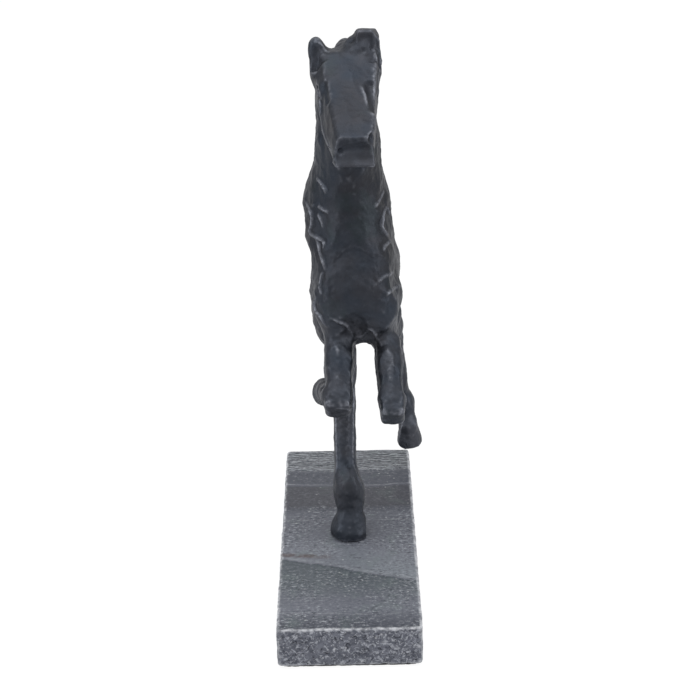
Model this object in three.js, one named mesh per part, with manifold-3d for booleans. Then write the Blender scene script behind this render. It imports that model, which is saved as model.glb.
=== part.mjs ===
// Rearing horse statuette: bronze castings on a marble block.
// Millimetres, +Z up. The horse faces -Y; its right side is -X.
// Origin: centre of the marble's footprint, on the underside of the felt sheet it rests on.
// Within the statue group, heights are measured from the marble's underside.
import * as THREE from 'three';
import { mergeVertices } from 'three/addons/utils/BufferGeometryUtils.js';
import Module from 'manifold-3d';

const wasm = await Module();
wasm.setup();
const { degToRad, clamp } = THREE.MathUtils;

// ---------------------------------------------------------------- driving dimensions
const BASE_W = 80;            // marble, across (X)
const BASE_L = 200;           // marble, along (Y)
const BASE_H = 25;            // marble thickness
const BASE_CORNER_R = 3;      // vertical corner radius
const BASE_BEVEL = 0.8;       // eased top and bottom edges
const FELT_T = 1.5;           // felt sheet glued below the marble
const FELT_INSET = 2;         // felt edge in from the marble's edge
const GAP = 0.3;              // clearance between two castings at a seam
const OVERCUT = 1;            // how far a cutting tool runs past the face it opens
const LEG_OVERCUT = 2;        // the same, below the standing hoof

const STUD_XY = [1.0, -1.5];  // axis of the mounting stud, under the standing hoof
const STUD_R = 2.75;          // M6 stud at its pitch radius
const STUD_HOLE_R = 3.05;     // tapped hole in the hoof and nut, modelled plain
const STUD_Z0 = 3.0;          // lower end of the stud
const STUD_Z1 = 38.0;         // upper end, inside the hoof and pastern
const STUD_CHAMFER = 0.6;
const STUD_END_PLAY = 0.8;    // hole left above the stud
const BASE_HOLE_R = 3.5;      // stud's through hole in the marble
const CBORE_R = 11;           // counterbore in the marble's underside
const CBORE_D = 13;

const PIN_XY = [1.0, 5.0];    // dowel that stops the horse turning on its one stud
const PIN_R = 1.5;
const PIN_Z0 = 16.5;
const PIN_Z1 = 33;
const PIN_CHAMFER = 0.3;
const PIN_END_PLAY = 0.5;     // hole left beyond each end of the pin

const WASHER = { outer: 9, inner: 3.2, thick: 1.6, segments: 16 };
const SPRING = { outer: 5.9, inner: 3.15, thick: 1.6, segments: 14 };
const SLIT = { length: 6, width: 0.9, height: 6, slant: 28, x: 4.5 }; // cut through the spring
const NUT_AF = 10;            // M6 nut across flats
const NUT_T = 5;
const STACK_GAP = 0.02;       // between the marble, washers and nut

const BODY_PITCH = 34;        // body axis, degrees nose up
const HEAD_PITCH = 31;        // face line, degrees below level
const POLL = [4.0, -52.0, 327.5];
const HEAD_TURN = 4.4 / 60;   // sideways drift of the face line towards the horse's left

const SPIGOT_R = 3.3;         // round spigots on the legs and tail
const SPIGOT_IN = 8;          // reach into the body
const SPIGOT_OUT = 6;         // reach into its own limb
const SOCKET_OUT = 4;         // the body's socket tool runs this far past the seam
// hollow oval spigot of the neck: half widths, wall, reach above and below the seam,
// further run of its bore, and top of the tool that cuts its socket in the body
const COLLAR = { a: 11.5, b: 19, wall: 2.6, up: 8, down: 8, boreRun: 4, socketTop: 5 };

// seam planes: a point and the pitch that turns +Z onto the direction the limb leaves
const FORE_PITCH = 121.5;
const SEAMS = {
  neck: { point: [5, -36, 262], pitch: 14.5 },
  foreRight: { point: [-3, -69, 180.5], pitch: FORE_PITCH },
  foreLeft: { point: [22.8, -69, 177.0], pitch: FORE_PITCH },
  tail: { point: [7.4, 90, 195], pitch: -59.8 },
};
const HIND_SEAM_Z = 137.0;    // level seam of both hind legs
const MID_X = 10.5;           // between the left and right legs

// sampling box and grid step of each casting's skin, and the deviation allowed when thinning it
const CASTINGS = {
  body_casting: { low: [-32, -110, 118], high: [56, 112, 286], step: 5.6, deviation: 0.16 },
  head_and_neck: { low: [-20, -116, 240], high: [30, 20, 346], step: 4.1, deviation: 0.11 },
  foreleg_right: { low: [-26, -112, 122], high: [MID_X - 1, -24, 200], step: 3.1, deviation: 0.09 },
  foreleg_left: { low: [MID_X + 1, -112, 116], high: [38, -24, 198], step: 3.1, deviation: 0.09 },
  hindleg_right: { low: [-20, -16, 22.5], high: [MID_X + 4, 62, 152], step: 3.5, deviation: 0.09 },
  hindleg_left: { low: [MID_X, 0, 32], high: [52, 98, 152], step: 3.5, deviation: 0.09 },
  tail: { low: [-8, 78, 94], high: [24, 176, 216], step: 3.7, deviation: 0.11 },
};
const SHORT_EDGE = 0.08;      // thinning closes shorter edges first

// ---------------------------------------------------------------- kinds of form
// Each form has a signed distance, negative inside, and the width over which it blends.
// Pitches are degrees about X: positive raises the form's front.
function pitchedFrame(centre, pitch) {
  const angle = degToRad(pitch);
  const cos = Math.cos(angle);
  const sin = Math.sin(angle);
  return (x, y, z) => {
    const dx = x - centre[0];
    const dy = y - centre[1];
    const dz = z - centre[2];
    return [dx, dy * cos - dz * sin, dy * sin + dz * cos];
  };
}

function ellipsoid(centre, radii, pitch, blend) {
  const local = pitchedFrame(centre, pitch);
  const [rx, ry, rz] = radii;
  const distance = (x, y, z) => {
    const [u, v, w] = local(x, y, z);
    const scaled = Math.hypot(u / rx, v / ry, w / rz);
    const slope = Math.hypot(u / rx ** 2, v / ry ** 2, w / rz ** 2);
    return scaled * (scaled - 1) / Math.max(slope, 1e-6);
  };
  return { distance, blend };
}

// rounded block, given by its half sizes
function block(centre, half, pitch, round, blend) {
  const local = pitchedFrame(centre, pitch);
  const distance = (x, y, z) => {
    const [qx, qy, qz] = local(x, y, z).map((v, i) => Math.abs(v) - (half[i] - round));
    const outside = Math.hypot(Math.max(qx, 0), Math.max(qy, 0), Math.max(qz, 0));
    return outside + Math.min(Math.max(qx, qy, qz), 0) - round;
  };
  return { distance, blend };
}

// tapered round-ended limb from a to b, its thickness across X multiplied by flat
function limb(a, b, radiusA, radiusB, flat, blend) {
  const ax = a[0] / flat;
  const bx = b[0] / flat - ax;
  const by = b[1] - a[1];
  const bz = b[2] - a[2];
  const length2 = bx * bx + by * by + bz * bz;
  const taper = radiusA - radiusB;
  const side2 = length2 - taper * taper;
  const inverse2 = 1 / length2;
  const distance = (x, y, z) => {
    const px = x / flat - ax;
    const py = y - a[1];
    const pz = z - a[2];
    const fromA = px * bx + py * by + pz * bz;
    const fromB = fromA - length2;
    const wx = px * length2 - fromA * bx;
    const wy = py * length2 - fromA * by;
    const wz = pz * length2 - fromA * bz;
    const off2 = wx * wx + wy * wy + wz * wz;
    const a2 = fromA * fromA * length2;
    const b2 = fromB * fromB * length2;
    const limit = Math.sign(taper) * taper * taper * off2;
    let d;
    if (Math.sign(fromB) * side2 * b2 > limit) {
      d = Math.sqrt(off2 + b2) * inverse2 - radiusB;
    } else if (Math.sign(fromA) * side2 * a2 < limit) {
      d = Math.sqrt(off2 + a2) * inverse2 - radiusA;
    } else {
      d = (Math.sqrt(off2 * side2 * inverse2) + fromA * taper) * inverse2 - radiusA;
    }
    return d * Math.min(1, flat);
  };
  return { distance, blend };
}

// trims away what lies beyond a plane, no further than reach from the plane's point
function plane(point, normal, reach, blend) {
  const length = Math.hypot(...normal);
  const distance = (x, y, z) => {
    const dx = x - point[0];
    const dy = y - point[1];
    const dz = z - point[2];
    const height = (dx * normal[0] + dy * normal[1] + dz * normal[2]) / length;
    return Math.max(-height, Math.hypot(dx, dy, dz) - reach);
  };
  return { distance, blend, trims: true };
}

const headCos = Math.cos(degToRad(HEAD_PITCH));
const headSin = Math.sin(degToRad(HEAD_PITCH));
// a point in the head: x across, t along the face from the poll, n square to the face
const head = (x, t, n) => [
  POLL[0] + x + HEAD_TURN * t,
  POLL[1] - t * headCos - n * headSin,
  POLL[2] - t * headSin + n * headCos,
];

// ---------------------------------------------------------------- form table
// Columns, ending in the blend width with the forms before it in the part:
//   ellipsoid  centre, radii, pitch              block  centre, half sizes, pitch, rounding
//   limb       two ends, their radii, flatness   plane  point, outward normal, reach
// A part's own blend joins it to the parts before it.
const FORMS = {
  torso: { blend: 0, forms: [
    ellipsoid([7.2, -38, 217], [18.6, 40, 40], BODY_PITCH, 0),       // rib cage, front
    ellipsoid([6.2, 0, 194], [18.6, 50, 38], BODY_PITCH, 12),        // barrel
    ellipsoid([6.5, 32, 175.5], [18.6, 36, 34], BODY_PITCH, 10),     // loin and flank
    ellipsoid([7.2, 60, 176], [20.0, 32, 30], BODY_PITCH + 8, 8),    // croup
    limb([5.0, -22, 250], [6.0, 10, 232], 12, 11, 0.6, 10),          // withers
    ellipsoid([7.0, -55, 225], [16.5, 18, 34], 70, 10),              // breast
    plane([7.0, -79.0, 226], [0, -0.962, 0.272], 46, 14),            // flat front of the chest
    limb([-8.5, -34, 250], [-6.0, -64, 206], 13, 13, 0.55, 6),       // right shoulder
    limb([16.4, -36, 246], [19.6, -64, 206], 13, 13, 0.55, 6),       // left shoulder
    ellipsoid([-3.5, -67, 200], [9.5, 11, 12], 30, 5),               // right pectoral
    ellipsoid([18.8, -67, 200], [9.5, 11, 12], 30, 5),               // left pectoral
    limb([-9.8, -40, 249], [-9.0, -46, 236], 12.5, 12.5, 0.66, 5),   // point of right shoulder
    ellipsoid([22.6, -52, 202], [9.0, 12, 10.5], BODY_PITCH, 4),     // left elbow muscle
    limb([7.4, -67.5, 206], [9.6, -64, 189.4], 12, 8.6, 1.0, 8),     // brisket between the legs
    block([11.0, -58, 184.4], [8.2, 8.5, 6.0], 20, 1.8, 2.5),        // lower edge of the brisket
    plane([-14.4, -50, 205], [-1, 0, 0], 10, 2),                     // flats outside the elbows
    plane([28.2, -44, 228], [1, 0, 0], 10, 2),
  ] },
  neck: { blend: 9, forms: [
    limb([5.0, -38, 246], [4.2, -42, 280], 31, 22.5, 0.60, 0),
    limb([4.4, -42, 280], [3.8, -47, 306], 22.5, 17.5, 0.645, 8),
    limb([3.6, -47, 306], head(0, 8, -10), 17.5, 14, 0.84, 6),
    limb([4.0, -38, 326], [4.0, -24, 304], 6.5, 8.5, 0.66, 7),       // crest of the neck
    limb([4.0, -24, 304], [4.4, -12, 276], 8.5, 8.5, 0.66, 7),
    limb([4.4, -12, 276], [5.2, 2, 250], 8.5, 6, 0.66, 7),
  ] },
  head: { blend: 5, forms: [
    block(head(-0.4, 34.5, -3.2), [13.6, 30.9, 8.6], -HEAD_PITCH, 1.8, 0), // wedge of the face
    plane(head(-9.8, 36, 5.4), [-0.93, -0.30, 0.22], 36, 3.0),       // its two tapering sides
    plane(head(11.2, 36, 5.4), [0.99, -0.075, 0], 36, 1.2),
    plane(head(-11.4, 54, -8), [-0.93, -0.215, -0.24], 13, 1.2),     // sides of the muzzle
    plane(head(10.4, 60, -8), [0.92, -0.20, -0.34], 7, 1.0),
    plane(head(0, 60.3, 0), [0, -0.998, 0.03], 17, 0.9),             // square nose end
    block([8.2, -99.4, 291.1], [10.4, 3.6, 5.6], 32, 2.0, 1.2),      // lips, below the nose
    plane([7.6, -98.6, 288.2], [0, -0.05, -1], 11, 1.4),             // underside of the lips
    ellipsoid(head(0, 12, -8), [14.0, 17, 13.5], -HEAD_PITCH, 4),    // skull
    ellipsoid(head(-7.2, 22, -16), [6.4, 14, 12.5], -HEAD_PITCH, 4), // right cheek
    ellipsoid(head(6.8, 21, -17), [6.2, 14, 13], -HEAD_PITCH, 4),    // left cheek
    limb(head(0, 22, -20), head(0, 50, -9), 8.5, 6, 1.0, 4),         // jaw
    ellipsoid(head(0, 51, -10.8), [7.5, 6, 4.0], -HEAD_PITCH, 3),    // chin
    ellipsoid(head(-11.4, 18, -3), [3.6, 6, 4.6], -HEAD_PITCH, 3),   // brows
    ellipsoid(head(11.2, 18, -3), [3.4, 6, 4.6], -HEAD_PITCH, 3),
    ellipsoid([8.2, -50, 329.6], [4.5, 7, 6.7], 0, 3),               // forelock
    limb([7.4, -50.5, 331.6], [11.0, -51, 333.6], 3.0, 3.2, 1, 2),   // its tip, towards left ear
    limb(head(-12.4, 24, -9), head(-10.0, 44, -8.5), 2.6, 1.6, 1, 3), // right cheek ridge
    plane(head(0, 30, 5.4), [0, -headSin, headCos], 34, 1.2),        // flat of the face
  ] },
  earRight: { blend: 4.5, forms: [
    limb([-6.8, -54, 320], [-9.8, -52, 333.2], 6.4, 3.9, 0.95, 0),
    limb([-9.4, -53, 330.6], [-1.2, -50.5, 324.6], 3.7, 4.6, 1, 2),  // roll towards forelock
    limb(head(-11.4, 8, -1.6), head(-5.0, 5.0, -0.2), 5.0, 4.8, 1, 4), // root of the ear
    plane([-9.4, -57.3, 330], [-0.25, -0.95, 0.18], 9, 0.8),
    plane([-13.2, -54, 335.2], [-0.72, -0.1, 0.69], 5, 0.6),
  ] },
  earLeft: { blend: 4.5, forms: [
    limb([14.0, -54, 321], [15.0, -52.4, 333], 7.0, 5.4, 1.0, 0),
    limb(head(10.4, 8, -1.2), head(7.4, -0.5, 0.8), 5.2, 4.2, 1, 4), // root of the ear
    limb([8.8, -54.8, 330.4], [13.5, -55.2, 332.0], 3.6, 4.0, 1, 2.5), // web to the forelock
    block([15.3, -53.0, 330.8], [5.7, 4.4, 9.8], 6, 1.8, 1.5),       // squared blade of the ear
    plane([20.4, -54, 337.2], [0.80, -0.1, 0.60], 6, 0.6),
    plane([19.4, -57.4, 331], [0.62, -0.78, 0], 10, 0.5),
  ] },
  foreRight: { blend: 7, forms: [
    limb([-4.6, -40, 208], [-3.2, -52, 190], 15, 12.5, 0.60, 0),
    limb([-3.2, -52, 190], [-2.6, -76, 176], 12, 9, 0.60, 4),
    limb([-2.6, -76, 176], [-3.0, -92, 163.5], 9, 7.4, 0.70, 4),     // forearm
    block([-1.9, -79.6, 173.2], [6.0, 19, 6.3], -38, 2.2, 4.0),      // its flat upper side
    block([-3.1, -94.6, 160.9], [6.7, 6.2, 6.6], -32, 2.8, 2.5),     // knee
    ellipsoid([-9.2, -92.6, 162.0], [2.6, 4.6, 5.0], -32, 2.0),      // outer knob of the knee
    limb([-4.2, -92, 156], [-7.8, -60, 147], 5.0, 4.4, 1.0, 2.5),    // cannon
    ellipsoid([-8.4, -57, 146], [5.2, 6.2, 5.8], 0, 2.5),            // fetlock
    limb([-8.8, -54, 145.5], [-10.2, -44, 141], 4.6, 5.0, 1.0, 2),   // pastern
    limb([-10.4, -44, 141], [-11.0, -34, 135], 5.6, 8.0, 0.85, 1.5), // hoof
    plane([-11.0, -34.5, 135.5], [-0.10, 0.84, -0.54], 11, 0.6),     // sole
  ] },
  foreLeft: { blend: 7, forms: [ // as the right, without the knob
    limb([19, -40, 206], [20.6, -52, 188], 15, 12.5, 0.60, 0),
    limb([20.6, -52, 188], [23.0, -76, 172], 12, 8.6, 0.57, 4),
    limb([23.0, -76, 172], [24.0, -92, 159], 8.6, 7.0, 0.68, 4),
    block([24.0, -79.6, 169.2], [5.4, 19, 6.0], -39, 2.2, 4.0),
    block([24.6, -94.6, 155.9], [6.2, 6.2, 6.8], -32, 2.8, 2.5),
    limb([24.2, -92, 151], [24.8, -60, 141], 4.9, 4.4, 1.0, 2.5),
    ellipsoid([25.0, -57, 140], [5.2, 6.2, 5.8], 0, 2.5),
    limb([25.0, -54, 139.5], [25.2, -44, 135], 4.6, 5.0, 1.0, 2),
    limb([25.2, -44, 135], [25.4, -34, 129], 5.4, 7.6, 0.8, 1.5),
    plane([25.4, -34.5, 129.5], [0, 0.84, -0.54], 11, 0.6),
  ] },
  hindRight: { blend: 8, forms: [
    ellipsoid([-4.6, 48, 176], [10.6, 31, 28], 60, 0),               // thigh
    limb([-5.0, 40, 172], [-8.4, 6, 162], 20, 13.0, 0.68, 8),        // stifle
    limb([-7.0, 8, 158], [-1.0, 25, 130], 12.5, 9.6, 0.58, 6),       // gaskin
    limb([-1.0, 25, 130], [-0.2, 34, 118], 9.4, 7.4, 0.80, 5),
    limb([-2.6, 50, 160], [-0.4, 42, 120], 8.5, 4.2, 0.62, 5),       // hamstring
    limb([-2.2, 38, 148], [-0.4, 38, 124], 7.0, 4.0, 0.5, 4),        // web of skin above the hock
    ellipsoid([-0.2, 37, 114], [6.6, 9.5, 9.5], -20, 4),             // hock
    limb([-0.8, 33, 107], [-1.2, 9, 62], 6.6, 6.6, 1.0, 4),          // cannon
    limb([-0.8, 37, 104], [-0.8, 14, 64], 4.2, 4.2, 1.0, 2),         // tendon
    ellipsoid([0.8, 3.2, 50.8], [9.2, 9.8, 13.6], -18, 7),           // fetlock
    limb([1.4, 0.6, 43], [1.4, -2.0, 35.4], 7.9, 7.4, 1.0, 4),       // pastern
    limb([1.2, -1.4, 32.8], [0.9, -1.5, 26], 9.4, 11.7, 0.98, 1.6),  // hoof
    limb([0.9, -1.5, 26], [0.9, -1.5, 23], 11.7, 11.2, 0.98, 1),
    plane([1, 0, 25], [0, 0, -1], 16, 0),                            // sole
  ] },
  hindLeft: { blend: 8, forms: [ // same order as the right
    ellipsoid([18.6, 50, 176], [11.6, 31, 28], 60, 0),
    limb([19.8, 44, 172], [23.0, 20, 159], 21, 13.0, 0.6, 8),
    limb([23.4, 22, 157], [27, 46, 138], 13.0, 9.8, 0.60, 6),
    limb([27, 46, 138], [29.0, 66, 124], 9.8, 6.8, 0.72, 5),
    limb([24, 70, 156], [29, 76, 122], 8, 4.2, 0.62, 5),
    limb([25, 56, 150], [28.4, 66, 128], 8.0, 4.4, 0.5, 4),
    ellipsoid([29.4, 73, 119], [6.2, 9.5, 9.0], 10, 4),
    limb([29.8, 75, 112], [34.6, 82, 73], 5.8, 5.4, 1.0, 4),
    limb([29.8, 80, 110], [34.8, 86.5, 74], 3.8, 3.8, 1.0, 2),
    ellipsoid([37.0, 82.5, 68], [6.2, 7.2, 7.6], 10, 3),
    limb([37.6, 81.5, 62], [38.6, 78, 54], 5.2, 5.6, 1.0, 3),
    limb([38.6, 78.5, 54], [39.6, 80, 42], 5.9, 8.4, 0.95, 2),
    plane([39.6, 80, 40.8], [0.05, 0.22, -0.97], 13, 0.6),
  ] },
  tail: { blend: 5, forms: [
    limb([7.4, 74, 184], [7.4, 88, 194], 9, 8.5, 0.75, 0),
    limb([7.4, 88, 194], [7.4, 102, 198], 8.5, 9, 0.72, 5),
    limb([7.4, 102, 198], [7.4, 116, 195], 9, 10, 0.70, 7),
    limb([7.4, 116, 195], [7.4, 128, 186], 10, 11, 0.68, 8),
    limb([7.4, 128, 186], [7.5, 137, 172], 11, 12, 0.66, 9),
    limb([7.5, 137, 172], [7.6, 143, 154], 12, 11.5, 0.64, 9),
    limb([7.6, 143, 154], [7.8, 148, 136], 11.5, 9.5, 0.62, 9),
    limb([7.8, 148, 136], [8.2, 154, 119], 9.5, 6.5, 0.62, 8),
    limb([8.2, 154, 119], [8.8, 161, 104], 6.5, 2.6, 0.62, 6),
  ] },
};

// ---------------------------------------------------------------- distance to the horse
function smoothMin(a, b, blend) {
  if (blend <= 0) return Math.min(a, b);
  const overlap = Math.max(blend - Math.abs(a - b), 0) / blend;
  return Math.min(a, b) - overlap * overlap * blend * 0.25;
}
const smoothMax = (a, b, blend) => -smoothMin(-a, -b, blend);

function horse(x, y, z) {
  let whole = Infinity;
  for (const part of Object.values(FORMS)) {
    let d = Infinity;
    for (const { distance, blend, trims } of part.forms) {
      const next = distance(x, y, z);
      d = trims ? smoothMax(d, -next, blend) : smoothMin(d, next, blend);
    }
    whole = smoothMin(whole, d, part.blend);
  }
  return whole;
}

// ---------------------------------------------------------------- skin as a closed geometry
const CELL_CORNERS = [
  [0, 0, 0], [1, 0, 0], [0, 1, 0], [1, 1, 0], [0, 0, 1], [1, 0, 1], [0, 1, 1], [1, 1, 1],
];
const CELL_EDGES = [ // pairs of corners
  [0, 1], [2, 3], [4, 5], [6, 7], [0, 2], [1, 3], [4, 6], [5, 7], [0, 4], [1, 5], [2, 6], [3, 7],
];
// sliding a vertex onto the skin: rounds, probe for the slope, least squared slope,
// and the most it may move, as a share of the grid step
const SLIDE = { rounds: 3, probe: 0.05, minSlope2: 0.05, share: 0.3 };

function forEachCell(counts, visit) {
  for (let i = 0; i < counts[0]; i++) {
    for (let j = 0; j < counts[1]; j++) {
      for (let k = 0; k < counts[2]; k++) visit(i, j, k);
    }
  }
}

// the distance at every grid point; the rim counts as outside, so the skin closes
function sampled(low, high, step) {
  const counts = low.map((v, i) => Math.ceil((high[i] - v) / step) + 2);
  const indexAt = (i, j, k) => (i * counts[1] + j) * counts[2] + k;
  const values = new Float64Array(counts[0] * counts[1] * counts[2]);
  forEachCell(counts, (i, j, k) => {
    const onRim = [i, j, k].some((v, axis) => v === 0 || v === counts[axis] - 1);
    values[indexAt(i, j, k)] = onRim
      ? step
      : horse(low[0] + i * step, low[1] + j * step, low[2] + k * step);
  });
  return { low, step, counts, indexAt, values };
}

// a vertex in each cell the skin crosses, at the mean of the crossings on the cell's edges
function cellVertices({ low, step, counts, indexAt, values }) {
  const vertexOf = new Int32Array(values.length).fill(-1);
  const points = [];
  forEachCell(counts.map((n) => n - 1), (i, j, k) => {
    const corners = CELL_CORNERS.map((c) => values[indexAt(i + c[0], j + c[1], k + c[2])]);
    const sum = [0, 0, 0];
    let crossings = 0;
    for (const [a, b] of CELL_EDGES) {
      if ((corners[a] < 0) === (corners[b] < 0)) continue;
      const t = corners[a] / (corners[a] - corners[b]);
      const from = CELL_CORNERS[a];
      const to = CELL_CORNERS[b];
      for (let axis = 0; axis < 3; axis++) sum[axis] += from[axis] + (to[axis] - from[axis]) * t;
      crossings++;
    }
    if (!crossings) return;
    vertexOf[indexAt(i, j, k)] = points.length / 3;
    [i, j, k].forEach((cell, axis) => {
      points.push(low[axis] + (cell + sum[axis] / crossings) * step);
    });
  });
  return { vertexOf, points };
}

function slideOntoSkin(points, step) {
  const { rounds, probe, minSlope2, share } = SLIDE;
  for (let p = 0; p < points.length; p += 3) {
    let moved = 0;
    for (let round = 0; round < rounds; round++) {
      const [x, y, z] = [points[p], points[p + 1], points[p + 2]];
      const d = horse(x, y, z);
      const gx = (horse(x + probe, y, z) - d) / probe;
      const gy = (horse(x, y + probe, z) - d) / probe;
      const gz = (horse(x, y, z + probe) - d) / probe;
      const slope2 = gx * gx + gy * gy + gz * gz;
      if (slope2 < minSlope2) break;
      const slope = Math.sqrt(slope2);
      const shift = clamp(-d / slope, -share * step - moved, share * step - moved);
      moved += shift;
      points[p] += shift * gx / slope;
      points[p + 1] += shift * gy / slope;
      points[p + 2] += shift * gz / slope;
    }
  }
}

// one four-sided face round each crossed grid edge, split along its shorter diagonal
function skinTriangles({ counts, indexAt, values }, vertexOf, points) {
  const triangles = [];
  const distanceBetween = (a, b) => Math.hypot(
    points[a * 3] - points[b * 3],
    points[a * 3 + 1] - points[b * 3 + 1],
    points[a * 3 + 2] - points[b * 3 + 2],
  );
  for (let axis = 0; axis < 3; axis++) {
    const u = (axis + 1) % 3;
    const w = (axis + 2) % 3;
    forEachCell(counts, (...start) => {
      const end = [...start];
      end[axis]++;
      if (end[axis] >= counts[axis] || start[u] < 1 || start[w] < 1) return;
      if (start[u] > counts[u] - 2 || start[w] > counts[w] - 2) return;
      const inside = values[indexAt(...start)] < 0;
      if (inside === (values[indexAt(...end)] < 0)) return;
      const vertexBack = (du, dw) => {
        const cell = [...start];
        cell[u] -= du;
        cell[w] -= dw;
        return vertexOf[indexAt(...cell)];
      };
      const quad = [vertexBack(1, 1), vertexBack(0, 1), vertexBack(0, 0), vertexBack(1, 0)];
      if (!inside) quad.reverse();
      const [a, b, c, d] = quad;
      if (distanceBetween(a, c) <= distanceBetween(b, d)) triangles.push(a, b, c, a, c, d);
      else triangles.push(a, b, d, b, c, d);
    });
  }
  return triangles;
}

function indexedGeometry(points, triangles) {
  const geometry = new THREE.BufferGeometry();
  geometry.setAttribute('position', new THREE.Float32BufferAttribute(points, 3));
  geometry.setIndex(triangles);
  return geometry;
}

function skinOf(name) {
  const { low, high, step } = CASTINGS[name];
  const grid = sampled(low, high, step);
  const { vertexOf, points } = cellVertices(grid);
  slideOntoSkin(points, step);
  return solid(indexedGeometry(points, skinTriangles(grid, vertexOf, points)));
}

// ---------------------------------------------------------------- solids and geometries
function solid(geometry) {
  const bare = geometry.clone();
  for (const name of Object.keys(bare.attributes)) {
    if (name !== 'position') bare.deleteAttribute(name);
  }
  const merged = mergeVertices(bare, 1e-4);
  const mesh = new wasm.Mesh({
    numProp: 3,
    vertProperties: new Float32Array(merged.attributes.position.array),
    triVerts: new Uint32Array(merged.index.array),
  });
  mesh.merge();
  return new wasm.Manifold(mesh);
}

function geometryOf(shape) {
  const mesh = shape.getMesh();
  const geometry = new THREE.BufferGeometry();
  const positions = new Float32Array(mesh.vertProperties);
  geometry.setAttribute('position', new THREE.BufferAttribute(positions, 3));
  geometry.setIndex(new THREE.BufferAttribute(new Uint32Array(mesh.triVerts), 1));
  geometry.computeVertexNormals();
  return geometry;
}

// the largest piece of a solid: drops any crumb a cut leaves
const largest = (shape) => shape.decompose().sort((a, b) => b.volume() - a.volume())[0];

// unit normal and area of a triangle
function facing(a, b, c) {
  const [ux, uy, uz] = [b[0] - a[0], b[1] - a[1], b[2] - a[2]];
  const [vx, vy, vz] = [c[0] - a[0], c[1] - a[1], c[2] - a[2]];
  const n = [uy * vz - uz * vy, uz * vx - ux * vz, ux * vy - uy * vx];
  const l = Math.hypot(...n);
  return [n[0] / (l || 1), n[1] / (l || 1), n[2] / (l || 1), l / 2];
}

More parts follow.
